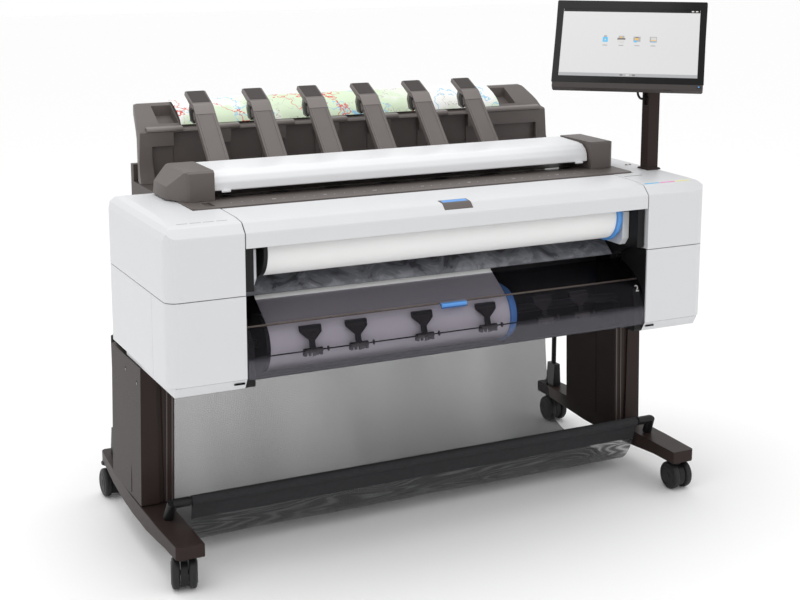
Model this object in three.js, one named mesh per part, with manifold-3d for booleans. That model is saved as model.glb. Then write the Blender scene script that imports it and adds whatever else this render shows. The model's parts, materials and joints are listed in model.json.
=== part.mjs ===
// Large format plotter: a stand on castors carries a wide printer body with two
// paper rolls, a scanner on top, a rear output stacker and a touch monitor on a post.
// Millimetres, +Z up, front faces -Y. The base of the object is centred on the origin.
import * as THREE from 'three';
import { mergeVertices } from 'three/addons/utils/BufferGeometryUtils.js';
import Module from 'manifold-3d';

const wasm = await Module();
wasm.setup();

// ---- Driving dimensions -------------------------------------------------------
const GAP = 0.3;                // clearance kept between touching pieces
const HALF_WIDTH = 699.5;       // half of the body width
const BAY_HALF = 523.5;         // seam between the middle bay and the side casings
const BAY_WALL = 500.5;         // inner face of the bay side walls
const BODY_DEPTH = 443;         // front face to the rear edge of the side casings
const BODY_BOTTOM = 467;        // lower edge of the side casings
const PAN_BOTTOM = 443;         // underside of the body
const MID_SEAM = 653;           // seam between upper and lower casing covers
const BODY_TOP = 817;           // flat top of the casings
const DECK_TOP = 810.5;         // top of the inner frame below the scanner
const BED_TOP = 820;            // scan bed surface
const SKIN = 6;                 // wall of the moulded covers
const CORNER_RADIUS = 28;       // front vertical corners of the casings

const BEAM_OUTER = 697;         // outer side of the foot beams at mid length
const BEAM_INNER = 628;         // inner side of the foot beams
const BEAM_TOP = 108;
const CROSSBAR_HALF = 607.9;    // the cross bar ends just inside the legs
const CASTOR_X = 661;           // castor swivel axis from the middle plane
const CASTOR_FRONT_Y = 53;
const CASTOR_REAR_Y = 655;
const CASTOR_TRAIL = 20;        // wheel axle ahead of the swivel axis
const WHEEL_RADIUS = 36;
const WHEEL_WIDTH = 19;
const WHEEL_OFFSET = 18.5;      // middle of each twin wheel from the fork middle
const FRONT_LEFT_TURN = 17;     // degrees that the front left castor is turned

const ROLL_HALF = 457;          // half of the 914 mm roll
const ROLL_1 = { y: 100, z: 731, radius: 60 };
const ROLL_2 = { y: 95, z: 516, radius: 64 };
const ROLL_2_END = 153;         // right end of the 610 mm roll
const CORE_RADIUS = 26;
const SPINDLE_RADIUS = 10;
const SPINDLE_HALF = 497;

const HOOD_REAR = 154;          // rear edge of the front hood
const HOOD_BOTTOM = 756;
const HOOD_GAP = 2.6;           // open seam between the hood and the side casings
const BED_FRONT = 157.5;
const BED_HALF = 585;
const LID_HALF = 505;
const LID_REAR = 386;
const CAP_INNER = 507.5;

const ARM_COUNT = 6;
const ARM_PITCH = 148;
const ARM_FIRST = -466;         // left side of the first stacker arm
const ARM_WIDTH = 52;
const TRAY_STEP = 899;          // the tray's front is set back below this height

const SHEET_LEFT = -467;
const SHEET_RIGHT = 443;
const BASKET_HALF = 612;
const BASKET_BAR = { y: 147, z: 151 };
const BASKET_REAR = { y: 620, z: 424 };
const CLOTH = 2.4;

const POST = { x: 658, y: 192, width: 34, depth: 30, top: 1040 };
const SCREEN_WIDTH = 345;
const SCREEN_HEIGHT = 194;
const SCREEN_CENTRE = { x: 576.4, y: 179.2, z: 1146.7 };
const MONITOR_YAW = -38.5;      // degrees about the vertical
const MONITOR_LEAN = -34;       // degrees about the monitor's own width axis
const MONITOR_DEPTH = 36;

// ---- Solid modelling helpers --------------------------------------------------
function toSolid(geometry) {
  const plain = geometry.index ? geometry.toNonIndexed() : geometry.clone();
  plain.deleteAttribute('normal');
  plain.deleteAttribute('uv');
  const merged = mergeVertices(plain, 1e-4);
  const mesh = new wasm.Mesh({
    numProp: 3,
    vertProperties: new Float32Array(merged.attributes.position.array),
    triVerts: new Uint32Array(merged.index.array),
  });
  return new wasm.Manifold(mesh);
}

function toGeometry(solid) {
  const mesh = solid.getMesh();
  const geometry = new THREE.BufferGeometry();
  geometry.setAttribute('position', new THREE.BufferAttribute(mesh.vertProperties, 3));
  geometry.setIndex(new THREE.BufferAttribute(mesh.triVerts, 1));
  return geometry;
}

function join(first, ...others) {
  return toGeometry(others.reduce((solid, g) => solid.add(toSolid(g)), toSolid(first)));
}

function cut(first, ...others) {
  return toGeometry(others.reduce((solid, g) => solid.subtract(toSolid(g)), toSolid(first)));
}

function common(first, ...others) {
  return toGeometry(others.reduce((solid, g) => solid.intersect(toSolid(g)), toSolid(first)));
}

// Box given by its limits along x, y and z.
function block(x0, x1, y0, y1, z0, z1) {
  const geometry = new THREE.BoxGeometry(x1 - x0, y1 - y0, z1 - z0);
  geometry.translate((x0 + x1) / 2, (y0 + y1) / 2, (z0 + z1) / 2);
  return geometry;
}

function outline(points) {
  return new THREE.Shape(points.map(([a, b]) => new THREE.Vector2(a, b)));
}

// Outline in y and z carried along x.
function alongX(points, x0, x1) {
  const geometry = new THREE.ExtrudeGeometry(outline(points), {
    depth: x1 - x0, bevelEnabled: false, steps: 1,
  });
  const turn = new THREE.Matrix4().makeBasis(
    new THREE.Vector3(0, 1, 0), new THREE.Vector3(0, 0, 1), new THREE.Vector3(1, 0, 0));
  geometry.applyMatrix4(turn);
  geometry.translate(x0, 0, 0);
  return geometry;
}

// Outline in x and z carried along y.
function alongY(points, y0, y1) {
  const geometry = new THREE.ExtrudeGeometry(outline(points), {
    depth: y1 - y0, bevelEnabled: false, steps: 1,
  });
  geometry.rotateX(Math.PI / 2);
  geometry.translate(0, y1, 0);
  return geometry;
}

// Outline in x and y carried along z.
function alongZ(points, z0, z1) {
  const geometry = new THREE.ExtrudeGeometry(outline(points), {
    depth: z1 - z0, bevelEnabled: false, steps: 1,
  });
  geometry.translate(0, 0, z0);
  return geometry;
}

function mirrorX(points, side) {
  return points.map(([x, second]) => [x * side, second]);
}

function rodX(x0, x1, y, z, radius, sides = 24) {
  const geometry = new THREE.CylinderGeometry(radius, radius, x1 - x0, sides);
  geometry.rotateZ(-Math.PI / 2);
  geometry.translate((x0 + x1) / 2, y, z);
  return geometry;
}

function rodZ(x, y, z0, z1, radius, sides = 24) {
  const geometry = new THREE.CylinderGeometry(radius, radius, z1 - z0, sides);
  geometry.rotateX(Math.PI / 2);
  geometry.translate(x, y, (z0 + z1) / 2);
  return geometry;
}

function rodBetween(from, to, radius, sides = 16) {
  const start = new THREE.Vector3(...from);
  const along = new THREE.Vector3(...to).sub(start);
  const geometry = new THREE.CylinderGeometry(radius, radius, along.length(), sides);
  const turn = new THREE.Quaternion().setFromUnitVectors(
    new THREE.Vector3(0, 1, 0), along.clone().normalize());
  geometry.applyQuaternion(turn);
  geometry.translate(...start.addScaledVector(along, 0.5).toArray());
  return geometry;
}

// Hollow cylinder along x.
function sleeveX(x0, x1, y, z, outer, inner, sides = 32) {
  return cut(rodX(x0, x1, y, z, outer, sides), rodX(x0 - 1, x1 + 1, y, z, inner, sides));
}

// Plate of even thickness that follows a path in y and z.
function ribbon(path, thickness, x0, x1) {
  const side = (sign) => path.map(([y, z], i) => {
    const before = path[Math.max(i - 1, 0)];
    const after = path[Math.min(i + 1, path.length - 1)];
    const along = new THREE.Vector2(after[0] - before[0], after[1] - before[1]).normalize();
    return [y - along.y * sign * thickness / 2, z + along.x * sign * thickness / 2];
  });
  return alongX([...side(1), ...side(-1).reverse()], x0, x1);
}

function quarter(cx, cy, radius, from, steps = 5) {
  const points = [];
  for (let i = 0; i <= steps; i += 1) {
    const angle = THREE.MathUtils.degToRad(from + (90 * i) / steps);
    points.push([cx + radius * Math.cos(angle), cy + radius * Math.sin(angle)]);
  }
  return points;
}

// ---- Materials and scene tree -------------------------------------------------
const model = new THREE.Group();

function paint(color, roughness, metalness = 0) {
  return { color, roughness, metalness };
}

const WHITE = paint(0xe4e5e7, 0.45);
const WARM_GREY = paint(0x5a5452, 0.55);
const DARK_STEEL = paint(0x4a4543, 0.5, 0.3);
const BLACK = paint(0x1a1a1b, 0.45);
const RUBBER = paint(0x2a2b2c, 0.7);
const BLUE = paint(0x3f78c8, 0.4);
const PAPER = paint(0xe6e5e2, 0.9);
const SMOKED = paint(0x4a4550, 0.15);
const CLOTH_GREY = paint(0x7a7a7a, 0.95);

function piece(name, geometry, look, parent = model) {
  const mesh = new THREE.Mesh(geometry, new THREE.MeshStandardMaterial(look));
  mesh.name = name;
  parent.add(mesh);
  return mesh;
}

const SIDES = [['left', -1], ['right', 1]];

// ---- Stand: foot beams, legs, cross member ------------------------------------
const beamPlan = [
  [BEAM_INNER, 2], [686, 2], [693, 9], [BEAM_OUTER, 130], [BEAM_OUTER, 330],
  [690, 520], [679, 665], [672, 672], [BEAM_INNER, 672],
];
const beamSide = [
  [2, BEAM_TOP], [672, BEAM_TOP + 4], [672, 82], [622, 82], [420, 68], [220, 67], [90, 77],
  [2, 77],
];
const legSlope = 9 / 335;       // the legs lean outward towards the floor

for (const [label, side] of SIDES) {
  const beam = common(
    alongX(beamSide, side < 0 ? -700 : 620, side < 0 ? -620 : 700),
    alongZ(mirrorX(beamPlan, side), 60, 120));
  const channel = alongZ(mirrorX([[BEAM_INNER + 4, 96], [690, 96], [692, 130], [692, 330],
    [686, 520], [680, 600], [BEAM_INNER + 4, 600]], side), 60, BEAM_TOP - 5);
  piece(`foot_beam_${label}`, cut(beam, channel), DARK_STEEL);

  const legFront = alongY(mirrorX([
    [617, BEAM_TOP + 4.6], [617 - legSlope * 330, PAN_BOTTOM - GAP],
    [697 - legSlope * 330, PAN_BOTTOM - GAP], [696, BEAM_TOP + 4.6],
  ], side), 255, 496);
  const frontGroove = alongZ(mirrorX([[640, 254], [652, 254], [652, 261], [640, 261]], side),
    BEAM_TOP, PAN_BOTTOM);
  const sideGrip = block(side < 0 ? -702 : 694, side < 0 ? -694 : 702, 330, 336, 120, 200);
  const legHollow = alongY(mirrorX([
    [622, BEAM_TOP], [622 - legSlope * 340, PAN_BOTTOM + 5],
    [689 - legSlope * 340, PAN_BOTTOM + 5], [689, BEAM_TOP],
  ], side), 264, 492);
  piece(`leg_${label}`, cut(legFront, frontGroove, sideGrip, legHollow), DARK_STEEL);
}
piece('stand_crossbar', cut(
  block(-CROSSBAR_HALF, CROSSBAR_HALF, 430, 480, 392, PAN_BOTTOM - GAP),
  block(-CROSSBAR_HALF - 1, CROSSBAR_HALF + 1, 433, 477, 395, PAN_BOTTOM - 3)), DARK_STEEL);

// ---- Castors ------------------------------------------------------------------
const CASTORS = [
  ['front_left', -1, CASTOR_FRONT_Y, 77, -FRONT_LEFT_TURN],
  ['front_right', 1, CASTOR_FRONT_Y, 77, 0],
  ['rear_left', -1, CASTOR_REAR_Y, 82, 0],
  ['rear_right', 1, CASTOR_REAR_Y, 82, 0],
];

function forkShape(ceiling) {
  const web = alongX([
    [-30, 30], [-24, 26], [-14, 26], [2, 44], [12, 60], [12, ceiling - 4],
    [-26, ceiling - 4], [-32, 60], [-34, 40],
  ], -7.5, 7.5);
  const disc = rodZ(0, 0, ceiling - 4.4, ceiling - GAP, 23, 28);
  const bore = rodX(-9, 9, -CASTOR_TRAIL, WHEEL_RADIUS, 5.3, 16);
  return cut(join(web, disc), bore);
}

function wheelShape() {
  const half = WHEEL_WIDTH / 2;
  const profile = [
    [0, -half], [WHEEL_RADIUS - 7, -half], [WHEEL_RADIUS - 2, -half + 2],
    [WHEEL_RADIUS, -half + 5], [WHEEL_RADIUS, half - 5], [WHEEL_RADIUS - 2, half - 2],
    [WHEEL_RADIUS - 7, half], [0, half],
  ].map(([r, h]) => new THREE.Vector2(r, h));
  const wheels = [-1, 1].map((side) => {
    const wheel = new THREE.LatheGeometry(profile, 28);
    wheel.rotateZ(-Math.PI / 2);
    wheel.translate(side * WHEEL_OFFSET, 0, 0);
    return wheel;
  });
  const axle = rodX(-WHEEL_OFFSET, WHEEL_OFFSET, 0, 0, 5, 16);
  const shape = join(axle, ...wheels);
  shape.translate(0, -CASTOR_TRAIL, WHEEL_RADIUS);
  return shape;
}

for (const [label, side, y, ceiling, turn] of CASTORS) {
  const castor = new THREE.Group();
  castor.position.set(side * CASTOR_X, y, 0);
  castor.rotation.z = THREE.MathUtils.degToRad(turn);
  model.add(castor);
  piece(`castor_fork_${label}`, forkShape(ceiling), BLACK, castor);
  piece(`castor_wheels_${label}`, wheelShape(), RUBBER, castor);
}

// ---- Paper basket -------------------------------------------------------------
const barEnds = SIDES.flatMap(([, side]) => {
  const inner = side * (BASKET_HALF + 3);
  const outer = side * 655;
  return [
    rodX(Math.min(inner, outer), Math.max(inner, outer), BASKET_BAR.y, BASKET_BAR.z, 11, 20),
    rodBetween([side * 655, BASKET_BAR.y - 2, BASKET_BAR.z + 3],
      [side * 660, BASKET_BAR.y + 18, BEAM_TOP + 3.5], 12, 20),
  ];
});
const barFloor = block(-700, 700, 100, 240, 80, BEAM_TOP + 0.6 + GAP + 0.2);
piece('basket_front_bar', cut(
  join(rodX(-652, 652, BASKET_BAR.y, BASKET_BAR.z, 8, 20), ...barEnds), barFloor), BLACK);

const rearRods = SIDES.flatMap(([, side]) => [
  rodZ(side * 650, BASKET_REAR.y, 113, BASKET_REAR.z, 7, 16),
  alongY([
    [side * 650 - 13, 112.6], [side * 650 + 13, 112.6],
    [side * 650 + 9, 178], [side * 650 - 9, 178],
  ], BASKET_REAR.y - 20, BASKET_REAR.y + 20),
]);
piece('basket_rear_frame', join(
  rodX(-650, 650, BASKET_REAR.y, BASKET_REAR.z, 7, 16), ...rearRods), BLACK);

const clothPath = [
  [BASKET_BAR.y + 1, BASKET_BAR.z - 10], [150, 126], [158, 98], [172, 66], [196, 38],
  [236, 20], [300, 14], [400, 14], [480, 18], [530, 34], [560, 70], [580, 130], [596, 220],
  [608, 320], [BASKET_REAR.y - 1, BASKET_REAR.z - 9],
];
piece('basket_fabric', join(
  ribbon(clothPath, CLOTH, -BASKET_HALF, BASKET_HALF),
  sleeveX(-BASKET_HALF, BASKET_HALF, BASKET_BAR.y, BASKET_BAR.z, 11.4, 8.6),
  sleeveX(-BASKET_HALF, BASKET_HALF, BASKET_REAR.y, BASKET_REAR.z, 10.2, 7.6)), CLOTH_GREY);

// ---- Inner frame of the body --------------------------------------------------
const rearBody = block(-586, 586, 446.5, 640, PAN_BOTTOM, DECK_TOP);
const core = block(-520, 520, 190, 447, PAN_BOTTOM, DECK_TOP);
const printChamber = block(-BAY_WALL, BAY_WALL, 180, 332, 688, 802);
// The bay walls stay behind the lower door and outside the arc of its upper edge.
const bayWallSide = [
  [14, 452], [14, 500], [20, 534], [30, 552], [44, 566], [62, 578], [90, 592], [122, 606],
  [126, 616], [100, 630], [70, 646], [40, 655], [12, 658], [12, 785], [24, 796], [40, 803],
  [70, 806], [200, 806], [200, 452],
];
const bayWalls = SIDES.map(([, side]) => alongX(bayWallSide,
  Math.min(side * BAY_WALL, side * 520), Math.max(side * BAY_WALL, side * 520)));
const pans = SIDES.map(([, side]) => alongX([
  [16, PAN_BOTTOM], [500, PAN_BOTTOM], [500, BODY_BOTTOM - 0.4], [2, BODY_BOTTOM - 0.4],
], Math.min(side * BAY_WALL, side * 676), Math.max(side * BAY_WALL, side * 676)));
const bayFloor = alongX([
  [13.5, 462], [13.5, 459], [76, 438.5], [200, 438.5], [200, 442.5], [77, 442.5],
], -BAY_WALL - 1, BAY_WALL + 1);
const ledges = SIDES.map(([, side]) => block(
  Math.min(side * 482, side * 502), Math.max(side * 482, side * 502),
  ROLL_2.y - 16, ROLL_2.y + 16, 450, ROLL_2.z - SPINDLE_RADIUS - GAP));
const trayBrackets = SIDES.map(([, side]) => block(
  Math.min(side * 560, side * 586), Math.max(side * 560, side * 586), 618, 640, 800, 853));
const bedFloor = block(-522, 522, 162, 335, 802, DECK_TOP);
const inlet = block(-470, -420, 622, 641, 500, 530);
const innerSpace = block(-480, 480, 350, 620, 470, 790);
const serviceOpening = block(-150, 150, 430, 560, PAN_BOTTOM - 1, 471);
const doorBay = block(-522, 522, 0, 13, 430, BODY_BOTTOM);
piece('chassis', cut(
  join(core, rearBody, ...bayWalls, ...pans, bayFloor, ...ledges, ...trayBrackets,
    bedFloor),
  printChamber, inlet, doorBay, innerSpace, serviceOpening), DARK_STEEL);

// ---- Side casings -------------------------------------------------------------
function casingPlan(side, inset) {
  const outer = HALF_WIDTH - inset;
  const radius = CORNER_RADIUS - inset;
  return mirrorX([
    [BAY_HALF, inset], ...quarter(outer - radius, inset + radius, radius, -90),
    [outer, BODY_DEPTH - inset - 6], [outer - 6, BODY_DEPTH - inset],
    [BAY_HALF, BODY_DEPTH - inset],
  ], side);
}

function upperCover(side) {
  const depthProfile = [
    [0, MID_SEAM + 0.6], [0, 787], [1, 790], [20, 808.5], [25, 811], [60, 815],
    [150, BODY_TOP], [405, BODY_TOP], [430, 812], [BODY_DEPTH, 800],
    [BODY_DEPTH, MID_SEAM + 0.6],
  ];
  const widthProfile = [
    [BAY_HALF, MID_SEAM], [BAY_HALF, 830], [664, 830], [672, BODY_TOP], [686, 811],
    [695, 800], [HALF_WIDTH, 784], [HALF_WIDTH, MID_SEAM],
  ];
  const body = common(
    alongZ(casingPlan(side, 0), MID_SEAM, 830),
    alongX(depthProfile, side < 0 ? -HALF_WIDTH : BAY_HALF, side < 0 ? -BAY_HALF : HALF_WIDTH),
    alongY(mirrorX(widthProfile, side), -1, BODY_DEPTH + 1));
  const near = side * (BAY_HALF + SKIN);
  const far = side * (HALF_WIDTH - SKIN - 20);
  const hollow = block(Math.min(near, far), Math.max(near, far), 26, BODY_DEPTH - SKIN,
    MID_SEAM - 1, 798);
  const bedSeat = block(Math.min(side * 520, side * (BED_HALF + 1)),
    Math.max(side * 520, side * (BED_HALF + 1)), BED_FRONT - 0.5, BODY_DEPTH + 1, 810, 830);
  return cut(body, hollow, bedSeat);
}

const SEAM_Y = 111;             // rear edge of the lower front covers

function lowerFrontCover(side) {
  const shell = cut(
    alongZ(casingPlan(side, 0), BODY_BOTTOM, MID_SEAM - 1.2),
    alongZ(casingPlan(side, SKIN), BODY_BOTTOM - 1, MID_SEAM + 1),
    block(-700, 700, SEAM_Y, 500, BODY_BOTTOM - 1, MID_SEAM + 1));
  const lipNear = side * (BAY_HALF + 0.5);
  const lipFar = side * (HALF_WIDTH - 30);
  const rib = block(Math.min(lipNear, lipFar), Math.max(lipNear, lipFar), SKIN - 1, 14,
    MID_SEAM - 12, MID_SEAM - 6);
  return join(shell, rib);
}

function sidePanel(side) {
  return cut(
    alongZ(casingPlan(side, 0), BODY_BOTTOM, MID_SEAM - 1.2),
    alongZ(casingPlan(side, SKIN), BODY_BOTTOM - 1, MID_SEAM + 1),
    block(-720, 720, -1, SEAM_Y + 2, BODY_BOTTOM - 1, MID_SEAM + 1),
    block(side < 0 ? -BAY_HALF - 66 : 500, side < 0 ? -500 : BAY_HALF + 66, 400, 460,
      BODY_BOTTOM - 1, MID_SEAM + 1));
}

for (const [label, side] of SIDES) {
  piece(`upper_cover_${label}`, upperCover(side), WHITE);
  piece(`side_panel_${label}`, sidePanel(side), WHITE);
}
piece('ink_door', lowerFrontCover(-1), WHITE);
piece('lower_cover_right', lowerFrontCover(1), WHITE);

// Six ink cartridges stand in a rack behind the ink door.
const rack = block(-672, -540, 40, 200, BODY_BOTTOM, 482);
const cartridges = Array.from({ length: 6 }, (_, i) => block(
  -670 + i * 22, -652 + i * 22, 44, 190, 481, 604));
piece('ink_cartridges', join(rack, ...cartridges), BLACK);

// ---- Print path ---------------------------------------------------------------
piece('platen', join(
  block(-499, 499, 205, 320, 688 + GAP, 698),
  block(-499, 499, 312, 320, 697, 770),
  rodX(-499, 499, 308, 764, 7, 16)), DARK_STEEL);
piece('printhead_carriage', cut(
  join(block(-494, -404, 218, 300, 702, 786), block(-486, -412, 232, 296, 785, 794)),
  rodX(-500, -400, 308, 764, 7.6, 16)), BLACK);
piece('feed_roller', rodX(-498, 498, 192, 700, 8.5, 20), RUBBER);
piece('media_guide', ribbon([
  [118, 621], [124, 628], [138, 639], [158, 652], [172, 665], [177, 682],
], 3, -498, 498), BLACK);

// ---- Rolls, spindles and rests ------------------------------------------------
function rollPieces(number, roll, end) {
  const bore = CORE_RADIUS;
  piece(`roll_${number}_paper`,
    sleeveX(-ROLL_HALF, end, roll.y, roll.z, roll.radius, bore, 48), PAPER);
  piece(`roll_${number}_spindle`, join(
    rodX(-SPINDLE_HALF, SPINDLE_HALF, roll.y, roll.z, SPINDLE_RADIUS, 20),
    rodX(-ROLL_HALF - 10, -ROLL_HALF - GAP, roll.y, roll.z, roll.radius + 2, 40),
    rodX(-ROLL_HALF - 1, -ROLL_HALF + 24, roll.y, roll.z, bore - GAP, 24)), BLACK);
  piece(`roll_${number}_hub`, cut(
    join(rodX(end + GAP, end + 9, roll.y, roll.z, roll.radius + 6, 44),
      rodX(end + 8, end + 20, roll.y, roll.z, roll.radius - 2, 44),
      rodX(end - 24, end + 1, roll.y, roll.z, bore - GAP, 24)),
    rodX(end - 30, end + 30, roll.y, roll.z, SPINDLE_RADIUS + GAP, 20),
    cut(rodX(end + 12, end + 21, roll.y, roll.z, roll.radius - 12, 32),
      rodX(end + 11, end + 22, roll.y, roll.z, 20, 24))), BLUE);
}
rollPieces(1, ROLL_1, ROLL_HALF);
rollPieces(2, ROLL_2, ROLL_2_END);
piece('roll_2_web', ribbon([[60.4, 571.4], [94, 592], [128, 612.5], [134, 620]], 0.8,
  -ROLL_HALF, ROLL_2_END), PAPER);

for (const [label, side] of SIDES) {
  const near = Math.min(side * 481, side * 500);
  const far = Math.max(side * 481, side * 500);
  piece(`spindle_rest_${label}`, cut(
    alongX([[48, 676], [62, 658], [140, 658], [152, 676], [152, 742], [138, 752], [62, 752],
      [48, 742]], near, far),
    rodX(near - 1, far + 1, ROLL_1.y, ROLL_1.z, SPINDLE_RADIUS + GAP, 20),
    block(near - 1, far + 1, ROLL_1.y - SPINDLE_RADIUS - GAP, ROLL_1.y + SPINDLE_RADIUS + GAP,
      ROLL_1.z, 760)), WHITE);
}

// ---- Lower roll door with latch, and the presser bar --------------------------
const doorPath = [
  [3, 466], [2.5, 486], [4.5, 510], [10, 534], [20, 554], [35, 570], [54, 583], [82, 597],
  [115, 609],
];
const doorGrip = block(-34, 34, 27, 39, 550, 580);
piece('roll_2_door', cut(
  join(ribbon(doorPath, 4, -BAY_HALF + 3, BAY_HALF - 3),
    rodX(-BAY_HALF + 3, BAY_HALF - 3, 6, 465, 4, 12)), doorGrip), SMOKED);
piece('door_latch', join(
  block(-33, 33, 28, 38.4, 566, 572), block(-33, 33, 29.2, 32, 560, 567)), BLUE);

const PRESSERS = [-362, -250, -83, 85, 241, 344];
const fanSide = [[13, 508], [17, 501], [24, 512], [29, 534], [40, 552], [40, 560], [32, 560],
  [24, 540], [19, 524]];
const fanFront = [[-6, 500], [6, 500], [6, 528], [25, 546], [26, 561], [-26, 561], [-25, 546],
  [-6, 528]];
const presserHeads = PRESSERS.flatMap((x) => [
  common(alongX(fanSide, x - 30, x + 30), alongY(fanFront.map(([a, b]) => [a + x, b]), 0, 60)),
  rodX(x - 22, x + 22, 17, 507, 6, 14),
  rodX(x - 22, x - 14, 21, 499, 4.5, 14),
  rodX(x + 14, x + 22, 21, 499, 4.5, 14),
  block(x - 20, x - 16, 14, 22, 498, 508),
  block(x + 16, x + 20, 14, 22, 498, 508),
]);
piece('presser_bar', join(rodX(-499, 499, 17, 507, 4, 14), ...presserHeads), BLACK);

// ---- Front hood ---------------------------------------------------------------
const hoodProfile = [
  [0, HOOD_BOTTOM], [0, 787], [1, 790], [20, 808.5], [25, 811], [60, 815],
  [HOOD_REAR, BODY_TOP], [HOOD_REAR, BODY_TOP - 5], [62, 810], [27, 806], [22, 803.5],
  [6, 788], [5.5, HOOD_BOTTOM],
];
// The handle lies in a recess over the front edge, with its own floor under it.
const handleFloor = [[6, 788], [9, 796], [22, 806], [28, 809], [50, 811.5], [50, 800],
  [24, 796], [10, 786]];
const handleRecess = [[9.5, 794.8], [21.5, 805], [27, 807.2], [47, 809.6], [47, 830],
  [9.5, 830]];
const hood = cut(
  join(alongX(hoodProfile, -BAY_HALF + HOOD_GAP, BAY_HALF - HOOD_GAP),
    alongX(handleFloor, -39, 39)),
  alongX(handleRecess, -37, 37));
piece('front_hood', hood, WHITE);
piece('hood_handle', alongX([
  [9.9, 795.2], [21.4, 805.4], [27, 807.6], [46.6, 810], [46.6, 814], [27, 811.8],
  [21, 809.8], [9.9, 799.2],
], -36.6, 36.6), BLUE);

// ---- Scanner ------------------------------------------------------------------
const bed = common(
  block(-BED_HALF, BED_HALF, BED_FRONT, 392, DECK_TOP + GAP, BED_TOP),
  alongZ([[-BED_HALF, 166], [-BED_HALF + 8, BED_FRONT], [BED_HALF - 8, BED_FRONT],
    [BED_HALF, 166], [BED_HALF, 392], [-BED_HALF, 392]], 800, 830));
piece('scan_bed', cut(bed,
  block(-547, -527, 176, 224, 815, 821),
  block(-480, 480, 268, 300, 816, 821)), WARM_GREY);

piece('scanner_lid', alongX([
  [248, 839], [250, 858], [258, 871], [272, 881], [290, 884], [LID_REAR, 887],
  [LID_REAR, 841], [380, 839],
], -LID_HALF, LID_HALF), WHITE);

for (const [label, side] of SIDES) {
  const plan = mirrorX([
    [CAP_INNER, 236], [566, 236], [573, 241], [606, 300], [608, 396], [CAP_INNER, 396],
  ], side);
  const frontView = mirrorX([
    [CAP_INNER, BED_TOP + GAP], [606, BED_TOP + GAP], [603, 850], [576, 886],
    [570, 889], [CAP_INNER, 889],
  ], side);
  const sideView = [
    [234, BED_TOP + GAP], [237, 884], [243, 889], [386, 889], [390, 860],
    [391, BED_TOP + GAP],
  ];
  piece(`scanner_end_${label}`, common(
    alongZ(plan, 810, 900), alongY(frontView, 230, 400),
    alongX(sideView, side < 0 ? -620 : CAP_INNER, side < 0 ? -CAP_INNER : 620)), WARM_GREY);
}

// ---- Output stacker -----------------------------------------------------------
const trayProfile = [
  [560, DECK_TOP + GAP], [578, 862], [580, 934], [584, 938], [600, 941], [618, 956],
  [683, 992], [692, 994], [700, 988], [705, 976], [702, 966], [640, 934], [616, 914],
  [614, DECK_TOP + GAP],
];
const trayFront = mirrorX([
  [0, DECK_TOP], [586, DECK_TOP], [582, 862], [578, 935], [570, 975], [562, 990],
  [548, 996], [0, 996],
], 1);
// The ends draw in towards the back.
const trayPlan = [...mirrorX([[584, 540], [584, 578], [576, 616], [556, 712]], 1),
  ...mirrorX([[556, 712], [576, 616], [584, 578], [584, 540]], -1)];
const trayOutline = [...trayFront.slice(1, -1), ...mirrorX(trayFront.slice(1, -1), -1).reverse()];
const channels = Array.from({ length: ARM_COUNT }, (_, i) => {
  const left = ARM_FIRST - 26 + i * ARM_PITCH;
  return block(left, left + ARM_WIDTH + 34, 555, 596, DECK_TOP - 1, 932);
});
const sheetSeat = alongX([
  [600, 945], [622, 962], [690, 1000], [560, 1000],
], SHEET_LEFT - 6, SHEET_RIGHT + 6);
const trayPocket = [[612, 925], [640, 942], [676, 961], [676, 1000], [612, 1000]];
piece('stacker_tray', cut(
  common(alongX(trayProfile, -590, 590), alongY(trayOutline, 540, 720),
    alongZ(trayPlan, DECK_TOP, 1000)),
  ...channels, sheetSeat, block(-560, 560, 606, 690, DECK_TOP - 1, 925),
  block(-548, 548, 555, 592, DECK_TOP - 1, TRAY_STEP),
  alongX(trayPocket, -520, SHEET_LEFT - 3),
  alongX(trayPocket, SHEET_RIGHT + 8, 500)), WARM_GREY);

piece('printed_sheet', ribbon([
  [600, 947], [606, 957], [618, 968], [636, 979], [658, 989], [676, 996], [690, 999],
  [698, 997],
], 0.8, SHEET_LEFT, SHEET_RIGHT), PAPER);

const armProfile = [
  [396, DECK_TOP + GAP], [396, 884], [452, 945], [506, 1003], [520, 1011], [566, 1033],
  [571, 1024], [526, 1001], [516, 994], [462, 938], [409, 880], [409, DECK_TOP + GAP],
];
for (let i = 0; i < ARM_COUNT; i += 1) {
  const left = ARM_FIRST + i * ARM_PITCH;
  const arm = join(
    alongX(armProfile, left, left + ARM_WIDTH),
    alongX([[506, 1002], [524, 1008], [530, 990], [520, 966], [500, 962], [488, 972]],
      left - 3, left + 4));
  piece(`stacker_arm_${i + 1}`, arm, WARM_GREY);
}

// ---- Monitor ------------------------------------------------------------------
const slot = block(POST.x - 20, POST.x - 8, POST.y - 8, POST.y + 8, 984, 1020);
piece('monitor_post', cut(
  join(
    block(POST.x - POST.width / 2, POST.x + POST.width / 2, POST.y - POST.depth / 2,
      POST.y + POST.depth / 2, BODY_TOP + GAP, POST.top),
    alongX([[168, BODY_TOP + GAP], [216, BODY_TOP + GAP], [211, BODY_TOP + 5],
      [173, BODY_TOP + 5]], POST.x - 21, POST.x + 21)),
  slot), DARK_STEEL);

const yaw = THREE.MathUtils.degToRad(MONITOR_YAW);
const lean = THREE.MathUtils.degToRad(MONITOR_LEAN);
const monitor = new THREE.Group();
monitor.position.set(SCREEN_CENTRE.x, SCREEN_CENTRE.y, SCREEN_CENTRE.z);
monitor.rotation.set(lean, 0, yaw, 'ZYX');
model.add(monitor);

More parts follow.
